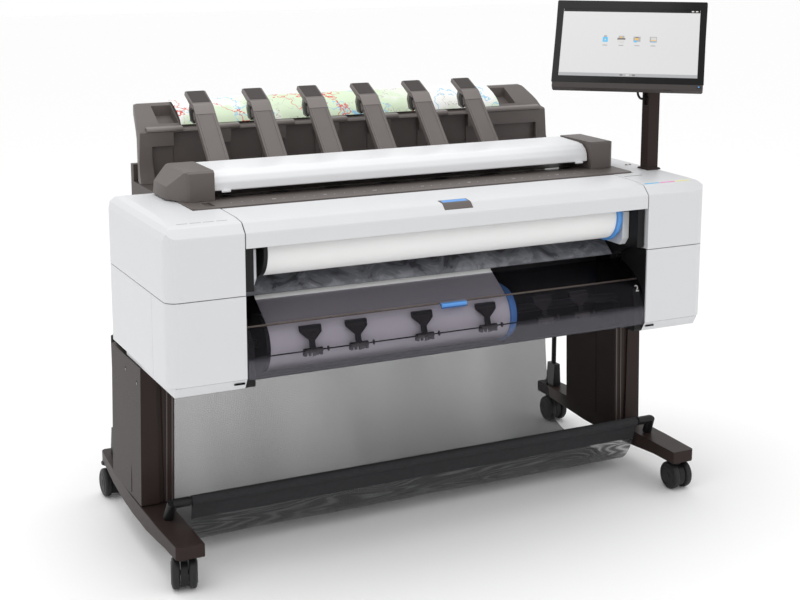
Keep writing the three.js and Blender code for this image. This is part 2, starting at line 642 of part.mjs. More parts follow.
// In the monitor's own frame x runs along its width, y to its back and z up its face.
const TILT_AXIS = { x: 54, y: 60, z: -16 };
const housingOutline = [[-190, 119], [-187, 122], [187, 122], [190, 119], [187, -128],
  [184, -131], [-184, -131], [-187, -128]];
const backOutline = housingOutline.map(([x, z]) => [x * 0.9, z * 0.86 - 4]);
const screenPocket = block(-SCREEN_WIDTH / 2 - GAP, SCREEN_WIDTH / 2 + GAP, -1, 1.6,
  -SCREEN_HEIGHT / 2 - GAP, SCREEN_HEIGHT / 2 + GAP);
const buttonPocket = block(172.4, 181.6, -1, 4, -124.4, -119.6);
const lugs = [-1, 1].map((side) => join(
  block(TILT_AXIS.x + side * 24 - 5, TILT_AXIS.x + side * 24 + 5, MONITOR_DEPTH - 4,
    TILT_AXIS.y, TILT_AXIS.z - 9, TILT_AXIS.z + 9),
  rodX(TILT_AXIS.x + side * 24 - 5, TILT_AXIS.x + side * 24 + 5, TILT_AXIS.y, TILT_AXIS.z,
    9, 20)));
piece('monitor_housing', cut(
  join(alongY(housingOutline, 0, 18), alongY(backOutline, 17, MONITOR_DEPTH), ...lugs),
  screenPocket, buttonPocket), BLACK, monitor);
piece('monitor_screen', block(-SCREEN_WIDTH / 2, SCREEN_WIDTH / 2, 0, 1.3,
  -SCREEN_HEIGHT / 2, SCREEN_HEIGHT / 2), paint(0xd6d6d6, 0.2), monitor);
piece('power_button', block(172.8, 181.2, -1, 2.2, -124, -120), BLUE, monitor);

// The arm turns on the post and carries the tilt knuckle.
monitor.updateMatrixWorld(true);
const knuckle = new THREE.Vector3(TILT_AXIS.x, TILT_AXIS.y, TILT_AXIS.z);
monitor.localToWorld(knuckle);
const widthAxis = new THREE.Vector3(Math.cos(yaw), Math.sin(yaw), 0);
const knuckleFrom = knuckle.clone().addScaledVector(widthAxis, -18.5);
const knuckleTo = knuckle.clone().addScaledVector(widthAxis, 18.5);
piece('monitor_arm', join(
  rodZ(POST.x, POST.y, POST.top + GAP, POST.top + 22, 24, 32),
  rodBetween([POST.x, POST.y, POST.top + 14], knuckle.toArray(), 9, 16),
  rodBetween(knuckleFrom.toArray(), knuckleTo.toArray(), 10, 20)), BLACK);

// The monitor cable leaves the slot in the post, loops and meets the turning collar.
const cableCurve = new THREE.CatmullRomCurve3([
  [POST.x - 11, POST.y, 1006], [POST.x - 26, POST.y - 2, 1001], [POST.x - 40, POST.y - 4, 1006],
  [POST.x - 45, POST.y - 3, 1026], [POST.x - 38, POST.y - 1, 1045],
  [POST.x - 25.6, POST.y, 1050],
].map((p) => new THREE.Vector3(...p)));
const cableSection = new THREE.Shape();
cableSection.absarc(0, 0, 3, 0, Math.PI * 2, false);
piece('monitor_cable', new THREE.ExtrudeGeometry(cableSection, {
  steps: 30, curveSegments: 4, bevelEnabled: false, extrudePath: cableCurve,
}), RUBBER);

// ---- Origin at the middle of the base -----------------------------------------
const bounds = new THREE.Box3().setFromObject(model, true);
model.position.set(-(bounds.min.x + bounds.max.x) / 2, -(bounds.min.y + bounds.max.y) / 2, 0);

export default model;
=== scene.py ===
"""Large format plotter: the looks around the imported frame, laid out as a Blender add-on."""

import json
import math
import random

import bpy
from mathutils import Euler, Matrix, Vector


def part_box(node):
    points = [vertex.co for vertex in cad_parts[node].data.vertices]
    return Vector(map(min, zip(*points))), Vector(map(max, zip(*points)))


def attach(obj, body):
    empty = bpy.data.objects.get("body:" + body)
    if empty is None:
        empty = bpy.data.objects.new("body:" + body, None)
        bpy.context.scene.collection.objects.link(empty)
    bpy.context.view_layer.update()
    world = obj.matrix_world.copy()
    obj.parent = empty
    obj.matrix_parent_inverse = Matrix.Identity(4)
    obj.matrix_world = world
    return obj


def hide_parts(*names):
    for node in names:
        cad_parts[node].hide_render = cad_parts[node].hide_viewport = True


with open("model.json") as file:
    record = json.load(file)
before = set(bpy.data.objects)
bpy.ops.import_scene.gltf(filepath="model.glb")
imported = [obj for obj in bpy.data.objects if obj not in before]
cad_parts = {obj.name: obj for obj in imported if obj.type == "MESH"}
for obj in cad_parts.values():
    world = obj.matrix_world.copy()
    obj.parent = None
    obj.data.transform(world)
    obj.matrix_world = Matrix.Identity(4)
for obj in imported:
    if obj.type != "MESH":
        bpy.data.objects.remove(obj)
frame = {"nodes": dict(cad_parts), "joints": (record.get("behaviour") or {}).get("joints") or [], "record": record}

bl_info = {
    "name": "Large Format Plotter",
    "version": (1, 0, 0),
    "blender": (4, 5, 0),
    "location": "View3D > Sidebar > Plotter",
    "description": "Builds the visible pieces of a large format plotter around its frame",
    "category": "Object",
}

MM = 0.001
BED_LOW, BED_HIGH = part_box("scan_bed")
MIDDLE_X = (BED_LOW.x + BED_HIGH.x) / 2
FRONT_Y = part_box("upper_cover_left")[0].y
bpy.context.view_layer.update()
ALL_SIDES = (("left", -1), ("right", 1))
CASTORS = ("front_left", "front_right", "rear_left", "rear_right")


def at(x, y, z):
    """A point given in millimetres from the middle of the front face, on the floor."""
    return Vector((MIDDLE_X + x * MM, FRONT_Y + y * MM, z * MM))


def to_linear(code):
    """An sRGB hex colour as linear red, green, blue and alpha."""
    values = [int(code[i:i + 2], 16) / 255 for i in (1, 3, 5)]
    return tuple(v / 12.92 if v <= 0.04045 else ((v + 0.055) / 1.055) ** 2.4
                 for v in values) + (1.0,)


def scaled(tone, factor):
    """A linear colour made lighter or darker, with full alpha."""
    return tuple(min(1.0, c * factor) for c in tone[:3]) + (1.0,)


# ---- What a user would change ---------------------------------------------------
def length(name, description, default):
    return bpy.props.FloatProperty(
        name=name, description=description, default=default, min=0.0, unit="LENGTH",
        precision=4)


def colour(name, description, code):
    return bpy.props.FloatVectorProperty(
        name=name, description=description, default=to_linear(code), size=4, min=0.0,
        max=1.0, subtype="COLOR")


class PlotterSizes(bpy.types.PropertyGroup):
    """Sizes of the finishing details, in metres."""

    cover_edge: length("Cover edge", "Rounding of the white cover edges", 0.0022)
    plate_edge: length("Plate edge", "Rounding of the folded steel edges", 0.0014)
    part_edge: length("Part edge", "Rounding of small moulded parts", 0.0008)
    cap_edge: length("Scanner cap edge", "Rounding of the scanner end caps", 0.005)
    cloth_thickness: length("Cloth thickness", "Thickness of the basket cloth", 0.0009)
    cloth_wave: length("Cloth wave", "How far the basket cloth ripples", 0.0035)
    ruler_pitch: length("Ruler pitch", "Distance between marks on the scan bed", 0.0254)


class PlotterColours(bpy.types.PropertyGroup):
    """Colours of the materials."""

    cover: colour("Covers", "White of the moulded covers", "#D5D6D8")
    cover_shade: colour("Cover shade", "Second tone of the white covers", "#D2D3D5")
    scanner: colour("Scanner", "Warm grey of the scanner and stacker", "#625B58")
    scanner_shade: colour("Scanner shade", "Second tone of the warm grey", "#5A5350")
    lip: colour("Stacker lip", "Lighter grey of the stacker lips", "#857E7B")
    stand: colour("Stand", "Umber powder coat of the stand", "#352B29")
    black: colour("Black parts", "Black moulded parts", "#131314")
    tread: colour("Castor tread", "Grey of the castor wheels", "#171718")
    blue: colour("Touch points", "Blue of handles, latch and hubs", "#5C9FE6")
    paper: colour("Paper", "Uncoated roll paper", "#F1F1F0")
    smoke: colour("Door tint", "Tint of one face of the smoked door", "#E3E1E5")
    cloth: colour("Cloth", "Yarn of the basket mesh", "#2C2C2D")
    display: colour("Display", "Lit background of the screen", "#C9C9C9")


# ---- Materials --------------------------------------------------------------------
def add_node(tree, kind, settings=None, links=None):
    """Adds one node, sets its sockets or properties, and links its inputs."""
    node = tree.nodes.new(kind)
    for key, value in (settings or {}).items():
        if isinstance(key, int) or key in node.inputs:
            node.inputs[key].default_value = value
        else:
            setattr(node, key, value)
    for key, source in (links or {}).items():
        tree.links.new(source, node.inputs[key])
    return node


def new_look(name):
    """A material with its node tree, its shader and its object coordinates."""
    look = bpy.data.materials.new(name)
    look.use_nodes = True
    tree = look.node_tree
    shader = tree.nodes["Principled BSDF"]
    where = add_node(tree, "ShaderNodeTexCoord").outputs["Object"]
    return look, tree, shader, where


def per_metre(size_mm):
    """Texture scale for a pattern that repeats every so many millimetres."""
    return 1000.0 / size_mm


def mottled(name, first, second, roughness, grain_mm, relief_mm, patch_mm=60.0,
            spread=0.06, index=1.5, metal=0.0):
    """A solid surface with slow patches of tone, varied gloss and a fine raised grain."""
    look, tree, shader, where = new_look(name)
    first, second = (to_linear(c) if isinstance(c, str) else c[:] for c in (first, second))
    patches = add_node(tree, "ShaderNodeTexNoise",
                       {"Scale": per_metre(patch_mm), "Detail": 3.0, "Roughness": 0.6},
                       {"Vector": where})
    tone = add_node(tree, "ShaderNodeMix", {"data_type": "RGBA", 6: first, 7: second},
                    {0: patches.outputs["Fac"]})
    grain = add_node(tree, "ShaderNodeTexNoise",
                     {"Scale": per_metre(grain_mm), "Detail": 2.0}, {"Vector": where})
    gloss = add_node(tree, "ShaderNodeMapRange",
                     {"From Min": 0.3, "From Max": 0.7, "To Min": roughness - spread,
                      "To Max": roughness + spread}, {"Value": grain.outputs["Fac"]})
    bump = add_node(tree, "ShaderNodeBump", {"Distance": relief_mm * MM, "Strength": 0.6},
                    {"Height": grain.outputs["Fac"]})
    tree.links.new(tone.outputs[2], shader.inputs["Base Color"])
    tree.links.new(gloss.outputs["Result"], shader.inputs["Roughness"])
    tree.links.new(bump.outputs["Normal"], shader.inputs["Normal"])
    shader.inputs["IOR"].default_value = index
    shader.inputs["Metallic"].default_value = metal
    return look


def along_depth(name, front, rear, border, roughness):
    """Black in front of a border plane and warm grey behind it, with a moulded grain."""
    look = mottled(name, front, front, roughness, 1.8, 0.03, index=1.35)
    tree = look.node_tree
    shader = tree.nodes["Principled BSDF"]
    where = add_node(tree, "ShaderNodeTexCoord").outputs["Object"]
    depth = add_node(tree, "ShaderNodeSeparateXYZ", links={0: where})
    behind = add_node(tree, "ShaderNodeMath", {"operation": "GREATER_THAN", 1: border},
                      {0: depth.outputs["Y"]})
    tone = add_node(tree, "ShaderNodeMix",
                    {"data_type": "RGBA", 6: to_linear(front), 7: to_linear(rear)},
                    {0: behind.outputs[0]})
    tree.links.new(tone.outputs[2], shader.inputs["Base Color"])
    return look


def smoked_polycarbonate(name, tint):
    """Extruded smoked polycarbonate: clear enough to see the roll, with a sharp gloss."""
    look, tree, shader, where = new_look(name)
    tree.nodes.remove(shader)
    streaks = add_node(tree, "ShaderNodeTexNoise",
                       {"Scale": per_metre(300.0), "Detail": 1.0}, {"Vector": where})
    height = add_node(tree, "ShaderNodeSeparateXYZ", links={0: where})
    # Above the fold the tint turns darker: painted shade on the sloping top of the door.
    painted_top_shade = add_node(tree, "ShaderNodeMapRange",
                     {"From Min": 0.571, "From Max": 0.574, "To Min": 0.0, "To Max": 0.8},
                     {"Value": height.outputs["Z"]})
    # Depth of the tint: random streaks, plus the painted shade of the sloping top.
    depth = add_node(tree, "ShaderNodeMath", {"operation": "MULTIPLY_ADD", 1: 0.2},
                     {0: streaks.outputs["Fac"], 2: painted_top_shade.outputs["Result"]})
    shade = add_node(tree, "ShaderNodeMix",
                     {"data_type": "RGBA", 6: tint, 7: scaled(tint, 0.8)},
                     {0: depth.outputs[0]})
    clear = add_node(tree, "ShaderNodeBsdfTransparent", links={"Color": shade.outputs[2]})
    haze = add_node(tree, "ShaderNodeBsdfDiffuse", {"Color": to_linear("#8F8C99")})
    cloudy = add_node(tree, "ShaderNodeMixShader", {0: 0.004},
                      {1: clear.outputs[0], 2: haze.outputs[0]})
    gloss = add_node(tree, "ShaderNodeBsdfGlossy",
                     {"Roughness": 0.02, "Color": (0.88, 0.87, 0.95, 1.0)})
    # The rolled lower lip is the glossiest part.
    lip = add_node(tree, "ShaderNodeMapRange",
                   {"From Min": 0.498, "From Max": 0.512, "To Min": 0.055, "To Max": 0.006},
                   {"Value": height.outputs["Z"]})
    sheen = add_node(tree, "ShaderNodeMixShader", {},
                     {0: lip.outputs["Result"], 1: cloudy.outputs[0], 2: gloss.outputs[0]})
    tree.links.new(sheen.outputs[0], tree.nodes["Material Output"].inputs["Surface"])
    return look


def open_mesh_cloth(name, yarn, openness):
    """Woven polyester mesh, open enough to see through, black yarn with a weak sheen."""
    look, tree, shader, where = new_look(name)
    uv = add_node(tree, "ShaderNodeTexCoord").outputs["UV"]
    # Real threads lie 1 mm apart: they are drawn coarser, so that they show at all.
    threads = [add_node(tree, "ShaderNodeTexWave",
                        {"wave_type": "BANDS", "bands_direction": direction, "Scale": scale,
                         "Distortion": 0.6, "Detail": 1.0}, {"Vector": uv})
               for direction, scale in (("X", 78.0), ("Y", 62.0))]
    weave = add_node(tree, "ShaderNodeMath", {"operation": "MULTIPLY"},
                     {0: threads[0].outputs["Fac"], 1: threads[1].outputs["Fac"]})
    speckle = add_node(tree, "ShaderNodeTexNoise",
                       {"Scale": per_metre(4.0), "Detail": 3.0}, {"Vector": where})
    # Painted shading of soft folds: slow bands, drawn long in depth and height, vary how much the mesh lets
    # through.
    hang = add_node(tree, "ShaderNodeMapping", {"Scale": (1.0, 0.25, 0.25)},
                    {"Vector": where})
    slow = add_node(tree, "ShaderNodeTexNoise",
                    {"Scale": per_metre(210.0), "Detail": 1.0},
                    {"Vector": hang.outputs["Vector"]})
    # The front wall and the floor of the basket beat against each other in slow bands.
    drawn = add_node(tree, "ShaderNodeMapping", {"Scale": (3.0, 16.0, 1.0)}, {"Vector": uv})
    field = add_node(tree, "ShaderNodeTexNoise",
                     {"Scale": 1.0, "Detail": 1.5, "Roughness": 0.4, "Distortion": 0.6},
                     {"Vector": drawn.outputs["Vector"]})
    rings = add_node(tree, "ShaderNodeMath", {"operation": "MULTIPLY", 1: 105.0},
                     {0: field.outputs["Fac"]})
    bands = add_node(tree, "ShaderNodeMath", {"operation": "SINE"}, {0: rings.outputs[0]})
    height = add_node(tree, "ShaderNodeSeparateXYZ", links={0: uv})
    front = add_node(tree, "ShaderNodeMapRange",
                     {"From Min": 0.13, "From Max": 0.2, "To Min": 0.18, "To Max": 0.0},
                     {"Value": height.outputs["Y"]})
    beat = add_node(tree, "ShaderNodeMath", {"operation": "MULTIPLY"},
                    {0: bands.outputs[0], 1: front.outputs["Result"]})
    # Towards its right end the mesh lets less through: painted shade of a soft fold on that side.
    painted_fold_shade = add_node(tree, "ShaderNodeMapRange",
                     {"From Min": 0.35, "From Max": 0.85, "To Min": 0.0, "To Max": -1.0},
                     {"Value": height.outputs["X"]})
    parts = ((weave.outputs[0], 0.06), (speckle.outputs["Fac"], 0.06),
             (slow.outputs["Fac"], 0.2), (painted_fold_shade.outputs["Result"], 0.07))
    total = add_node(tree, "ShaderNodeMath", {"operation": "ADD", 1: openness - 0.17},
                     {0: beat.outputs[0]}).outputs[0]
    for source, share in parts:
        total = add_node(tree, "ShaderNodeMath", {"operation": "MULTIPLY_ADD", 1: share},
                         {0: source, 2: total}).outputs[0]
    bump = add_node(tree, "ShaderNodeBump", {"Distance": 0.0006, "Strength": 0.5},
                    {"Height": weave.outputs[0]})
    tone = add_node(tree, "ShaderNodeMix",
                    {"data_type": "RGBA", 6: yarn, 7: scaled(yarn, 1.5)},
                    {0: speckle.outputs["Fac"]})
    closed = add_node(tree, "ShaderNodeMath", {"operation": "SUBTRACT", 0: 1.0}, {1: total})
    # Painted highlight: the yarn is made lighter in the bright bands of the beat, for the light that comes through
    # where the two layers line up.
    painted_moire_highlight = add_node(tree, "ShaderNodeMath",
                     {"operation": "MULTIPLY", 1: 4.5, "use_clamp": True},
                     {0: beat.outputs[0]})
    tone = add_node(tree, "ShaderNodeMix", {"data_type": "RGBA", 7: scaled(yarn, 6.0)},
                    {0: painted_moire_highlight.outputs[0], 6: tone.outputs[2]})
    tree.links.new(tone.outputs[2], shader.inputs["Base Color"])
    tree.links.new(bump.outputs["Normal"], shader.inputs["Normal"])
    tree.links.new(closed.outputs[0], shader.inputs["Alpha"])
    shader.inputs["Roughness"].default_value = 0.8
    shader.inputs["Sheen Weight"].default_value = 0.15
    return look


def map_print(name):
    """Inkjet print of a made-up map: woods, open land, rivers and roads on coated paper."""
    look, tree, shader, where = new_look(name)
    land = add_node(tree, "ShaderNodeTexNoise",
                    {"Scale": per_metre(190.0), "Detail": 5.0, "Roughness": 0.55},
                    {"Vector": where})
    woods = add_node(tree, "ShaderNodeValToRGB", links={"Fac": land.outputs["Fac"]})
    ramp = woods.color_ramp
    ramp.elements[0].position, ramp.elements[0].color = 0.44, to_linear("#F1F1EE")
    ramp.elements[1].position, ramp.elements[1].color = 0.52, to_linear("#D5E6C8")
    flows = [(per_metre(260.0), 7.0, 0.010, "#9CCDE6"), (per_metre(420.0), 3.0, 0.006, "#D9635A"),
             (per_metre(170.0), 9.0, 0.005, "#BDB8B2")]
    tone = woods.outputs["Color"]
    for scale, offset, width, code in flows:
        moved = add_node(tree, "ShaderNodeMapping", {"Location": (offset, offset, 0.0)},
                         {"Vector": where})
        course = add_node(tree, "ShaderNodeTexNoise",
                          {"Scale": scale, "Detail": 6.0, "Roughness": 0.6},
                          {"Vector": moved.outputs["Vector"]})
        line = add_node(tree, "ShaderNodeMath", {"operation": "COMPARE", 1: 0.5, 2: width / 2},
                        {0: course.outputs["Fac"]})
        tone = add_node(tree, "ShaderNodeMix", {"data_type": "RGBA", 7: to_linear(code)},
                        {0: line.outputs[0], 6: tone}).outputs[2]
    tree.links.new(tone, shader.inputs["Base Color"])
    shader.inputs["Roughness"].default_value = 0.55
    return look


def marbled_film(name):
    """Dark calendered film behind the rolls, whose finish clouds like smoke."""
    look, tree, shader, where = new_look(name)
    flat = add_node(tree, "ShaderNodeMapping", {"Scale": (1.0, 0.6, 1.6)},
                    {"Vector": where})
    smoke = add_node(tree, "ShaderNodeTexNoise",
                     {"Scale": per_metre(85.0), "Detail": 5.0, "Roughness": 0.62,
                      "Distortion": 1.6}, {"Vector": flat.outputs["Vector"]})
    rings = add_node(tree, "ShaderNodeMath", {"operation": "MULTIPLY", 1: 46.0},
                     {0: smoke.outputs["Fac"]})
    grain = add_node(tree, "ShaderNodeMath", {"operation": "SINE"}, {0: rings.outputs[0]})
    both = add_node(tree, "ShaderNodeMath", {"operation": "MULTIPLY_ADD", 1: 0.02},
                    {0: grain.outputs[0], 2: smoke.outputs["Fac"]})
    tone = add_node(tree, "ShaderNodeValToRGB", links={"Fac": both.outputs[0]})
    ramp = tone.color_ramp
    ramp.elements[0].position, ramp.elements[0].color = 0.34, to_linear("#44454A")
    ramp.elements[1].position, ramp.elements[1].color = 0.72, to_linear("#9A9CA2")
    tree.links.new(tone.outputs["Color"], shader.inputs["Base Color"])
    shader.inputs["Roughness"].default_value = 0.45
    return look


def lit_display(name, base):
    """Liquid crystal panel with its backlight on: even, with a faint fall towards a side."""
    look, tree, shader, where = new_look(name)
    fall = add_node(tree, "ShaderNodeTexNoise",
                    {"Scale": per_metre(400.0), "Detail": 1.0}, {"Vector": where})
    tone = add_node(tree, "ShaderNodeMix",
                    {"data_type": "RGBA", 6: base, 7: scaled(base, 0.9)},
                    {0: fall.outputs["Fac"]})
    tree.links.new(tone.outputs[2], shader.inputs["Base Color"])
    tree.links.new(tone.outputs[2], shader.inputs["Emission Color"])
    shader.inputs["Emission Strength"].default_value = 0.12
    shader.inputs["Roughness"].default_value = 0.25
    return look


LOOKS = {}


def make_looks(colours):
    """All materials of the plotter, by their short names."""
    make_plastics(colours)
    make_dark_plastics(colours)
    make_metals(colours)
    make_papers_and_cloths(colours)
    make_inks()


def make_plastics(colours):
    """White and warm grey mouldings, blue touch points and the clear parts."""
    # Injection-moulded ABS: satin, with a spark-eroded grain drawn coarser than real.
    LOOKS["cover"] = mottled("white_moulded_abs", colours.cover, colours.cover_shade,
                             0.42, 1.6, 0.02, patch_mm=90.0)
    # The lid is painted whiter than the covers: painted light for the stronger light on its top. Its grain is
    # shallower and its gloss higher.
    LOOKS["lid"] = mottled("white_abs_painted_top_light", "#E6E7E9", "#E2E3E5", 0.35, 1.6, 0.01,
                           patch_mm=90.0)
    # The same plastic in warm grey, with a deeper leather-like grain.
    LOOKS["scanner"] = mottled("warm_grey_moulded_abs", colours.scanner,
                               colours.scanner_shade, 0.5, 1.8, 0.06, patch_mm=40.0)
    # Where paper slides, the grain is shallow and the gloss higher.
    LOOKS["arm"] = mottled("polished_warm_grey_abs", "#68615F", "#5F5856", 0.35, 1.8, 0.03,
                           patch_mm=80.0)
    LOOKS["lip"] = mottled("light_grey_moulded_abs", colours.lip, colours.scanner,
                           0.4, 1.8, 0.03, patch_mm=500.0)
    LOOKS["blue"] = mottled("blue_moulded_abs", colours.blue, "#5496DC", 0.38, 1.6, 0.02)
    LOOKS["door"] = smoked_polycarbonate("smoked_polycarbonate", colours.smoke[:])
    LOOKS["display"] = lit_display("lit_display_panel", colours.display[:])


def make_dark_plastics(colours):
    """Black mouldings and rubbers, kept apart by their gloss."""
    # A low index keeps these near black from the side, as a fine texture does.
    LOOKS["black"] = mottled("black_moulded_abs", colours.black, "#1A1A1B", 0.42, 1.4, 0.03,
                             index=1.35)
    LOOKS["frame"] = along_depth("black_and_warm_grey_frame_parts", "#0E0E0F", "#4A4340",
                                 0.09, 0.5)
    LOOKS["bezel_trim"] = mottled("umber_textured_abs", "#3A3432", "#332E2C", 0.55, 1.4,
                                  0.04, index=1.4)
    # Float glass over black print: no grain at all, and sharp reflections.
    LOOKS["gloss_black"] = mottled("black_float_glass", "#0C0C0D", "#101012", 0.12, 30.0,
                                   0.0, spread=0.03, index=1.28)
    # Cast wheels: smooth and slightly waxy. Moulded rubber is duller.
    LOOKS["tread"] = mottled("black_polyurethane", colours.tread, "#1F1F20", 0.5, 2.4, 0.03,
                             index=1.4)
    LOOKS["rubber"] = mottled("black_moulded_rubber", "#161617", "#1C1C1D", 0.6, 2.0, 0.04,
                              index=1.35)
    # The inside of slots and seams, where hardly any light comes back.
    LOOKS["void"] = mottled("black_shadow_gap", "#0B0B0C", "#101011", 0.7, 2.0, 0.0,
                            index=1.2)


def make_metals(colours):
    """Coated and bare metals."""
    # Folded sheet steel under a textured powder coat: orange peel and a soft gloss.
    LOOKS["stand"] = mottled("umber_powder_coated_steel", colours.stand,
                             scaled(colours.stand, 0.86), 0.4, 2.2, 0.03, patch_mm=70.0,
                             index=1.2)
    LOOKS["trim"] = mottled("umber_extruded_aluminium_trim", "#4E4643", "#443D3A",
                            0.35, 2.0, 0.02)
    # Turned, sprung and plated steel: fine tool marks vary the gloss.
    LOOKS["steel"] = mottled("turned_steel", "#8F8B88", "#76726F", 0.3, 3.0, 0.01, metal=1.0)
    LOOKS["bronze"] = mottled("bronzed_spring_steel", "#8C8078", "#6E645D", 0.3, 2.0, 0.01,
                              metal=0.8)
    LOOKS["clip"] = mottled("dull_nickel_plated_steel", "#62605D", "#4E4C4A", 0.4, 2.0, 0.01,
                            metal=0.9)
    LOOKS["platen"] = mottled("anodised_aluminium", "#6E6E70", "#646466", 0.4, 2.0, 0.01,
                              metal=0.9)


def make_papers_and_cloths(colours):
    """Roll paper, the printed map, the film behind the rolls and the basket's cloth."""
    # Uncoated paper: matte, fibre mottling, no gloss change that the eye could follow.
    LOOKS["paper"] = mottled("uncoated_roll_paper", colours.paper, "#ECECEB", 0.85, 3.0,
                             0.02, patch_mm=220.0)
    LOOKS["map"] = map_print("inkjet_map_print")
    LOOKS["film"] = marbled_film("dark_marbled_film")
    LOOKS["cloth"] = open_mesh_cloth("black_polyester_mesh", colours.cloth[:], 0.58)
    # Doubled at the sleeves and hems, the same cloth lets nothing through.
    LOOKS["hem"] = mottled("black_doubled_cloth", "#242426", "#303032", 0.8, 2.2, 0.3,
                           patch_mm=12.0, index=1.35)


def make_inks():
    """Printed marks, inks and icons: flat, with the faint gloss of screen print."""
    LOOKS["mark"] = mottled("pale_printed_mark", "#D8D6D3", "#BDBAB6", 0.5, 2.0, 0.0)
    LOOKS["grey_mark"] = mottled("grey_printed_mark", "#A9AAAC", "#9FA0A2", 0.5, 2.0, 0.0)
    inks = {"cyan": ("#58BEEA", "#4FB4E2"), "magenta": ("#EE7FC0", "#E574B7"),
            "yellow": ("#F3EE93", "#ECE685"), "amber": ("#F0B94A", "#E6AE3E")}
    for ink, (first, second) in inks.items():
        LOOKS[ink] = mottled(f"{ink}_ink", first, second, 0.45, 2.0, 0.0)


# ---- Modelling helpers --------------------------------------------------------------
def only(obj=None):
    """Selects this object alone, and makes it the active one."""
    if bpy.context.object and bpy.context.object.mode != "OBJECT":
        bpy.ops.object.mode_set(mode="OBJECT")
    bpy.ops.object.select_all(action="DESELECT")
    if obj:
        obj.select_set(True)
        bpy.context.view_layer.objects.active = obj


def settle(obj, name):
    """Names a new object and moves its place into its mesh."""
    obj.name = name
    obj.data.name = name
    only(obj)
    bpy.ops.object.transform_apply(location=True, rotation=True, scale=True)
    return obj


def round_edges(obj, width, segments=3, angle=30.0):
    """Rounds every edge sharper than the angle, and shades the result smoothly."""
    only(obj)
    if width > 0:
        bevel = obj.modifiers.new("edge", "BEVEL")
        bevel.width = width
        bevel.segments = segments
        bevel.limit_method = "ANGLE"
        bevel.angle_limit = math.radians(angle)
        bpy.ops.object.modifier_apply(modifier=bevel.name)
    bpy.ops.object.shade_smooth_by_angle(angle=math.radians(38.0))
    if width > 0:
        # Large faces stay flat, so that only the rounded edge catches the light.
        flat = obj.modifiers.new("flat", "WEIGHTED_NORMAL")
        flat.keep_sharp = True
        bpy.ops.object.modifier_apply(modifier=flat.name)
    return obj


def block(name, low, high, edge=0.0, segments=2):
    """A block between two corners, in any order, with rounded edges."""
    only()
    bpy.ops.mesh.primitive_cube_add(size=1.0, location=(low + high) / 2,
                                    scale=tuple(abs(v) for v in high - low))
    obj = settle(bpy.context.object, name)
    return round_edges(obj, edge, segments)


def rod(name, start, end, radius, sides=24, edge=0.0):
    """A round bar between two points, with rounded ends."""
    only()
    along = end - start
    bpy.ops.mesh.primitive_cylinder_add(
        vertices=sides, radius=radius, depth=along.length, location=(start + end) / 2,
        rotation=along.to_track_quat("Z", "Y").to_euler())
    obj = settle(bpy.context.object, name)
    return round_edges(obj, edge, 2)


def prism(name, outline, axis, start, end, edge=0.0, segments=2):
    """A flat outline, given as points, carried from it along one axis."""
    only()
    bpy.ops.mesh.primitive_circle_add(vertices=len(outline), radius=1.0, fill_type="NGON")
    obj = bpy.context.object
    for vertex, point in zip(obj.data.vertices, outline):
        vertex.co = point
    bpy.ops.object.mode_set(mode="EDIT")
    bpy.ops.mesh.select_all(action="SELECT")
    travel = Vector((0.0, 0.0, 0.0))
    travel["xyz".index(axis)] = end - start
    bpy.ops.mesh.extrude_region_move(TRANSFORM_OT_translate={"value": travel})
    bpy.ops.mesh.select_all(action="SELECT")
    bpy.ops.mesh.normals_make_consistent(inside=False)
    return round_edges(settle(obj, name), edge, segments)


def side_prism(name, outline, x0, x1, edge=0.0, segments=2):
    """A side outline, in millimetres of depth and height, carried across the width."""
    points = [at(x0, y, z) for y, z in outline]
    return prism(name, points, "x", 0.0, (x1 - x0) * MM, edge, segments)


def front_prism(name, outline, y0, y1, edge=0.0, segments=2):
    """A front outline, in millimetres of width and height, carried backwards."""
    points = [at(x, y0, z) for x, z in outline]
    return prism(name, points, "y", 0.0, (y1 - y0) * MM, edge, segments)


def strip_outline(path, height):
    """The outline of a thin strip that lies along one side of a path."""
    sides = []
    for offset in (0.0, height):
        row = []
        for i, (y, z) in enumerate(path):
            before = path[max(i - 1, 0)]
            after = path[min(i + 1, len(path) - 1)]
            along = Vector((after[0] - before[0], after[1] - before[1])).normalized()
            row.append((y - along.y * offset, z + along.x * offset))
        sides.append(row)
    return sides[0] + sides[1][::-1]


def merge(name, parts):
    """Joins objects into one piece and keeps their materials."""
    only(parts[0])
    for part in parts:
        part.select_set(True)
    if len(parts) > 1:
        bpy.ops.object.join()
    parts[0].name = name
    parts[0].data.name = name
    return parts[0]


def paint(obj, look):
    obj.data.materials.clear()
    obj.data.materials.append(LOOKS[look])
    return obj


def fit(obj, body, slot, *nodes):
    """Lets a finished piece ride on its body and stand for its CAD nodes."""
    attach(obj, body)
    if nodes:
        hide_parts(*nodes)
    return obj


def body_of_node(node):
    bodies = frame["record"]["behaviour"]["bodies"]
    return next(name for name, members in bodies.items() if node in members)


def slot_of_node(node):
    parts = frame["record"]["subparts"]
    return next(p["material_slot"] for p in parts if p["node"] == node)


def soften(node, look, width, segments=3, angle=30.0):
    """A copy of a CAD node with rounded edges, which then stands for that node."""
    name = node + "_finished"
    obj = bpy.data.objects.new(name, frame["nodes"][node].data.copy())
    bpy.context.scene.collection.objects.link(obj)
    only(obj)
    bpy.ops.mesh.customdata_custom_splitnormals_clear()
    bpy.ops.object.mode_set(mode="EDIT")
    bpy.ops.mesh.select_all(action="SELECT")
    bpy.ops.mesh.remove_doubles(threshold=0.00002)
    bpy.ops.mesh.dissolve_limited(angle_limit=math.radians(0.5))
    bpy.ops.object.mode_set(mode="OBJECT")
    round_edges(obj, width, segments, angle)
    paint(obj, look)
    return fit(obj, body_of_node(node), slot_of_node(node), node)


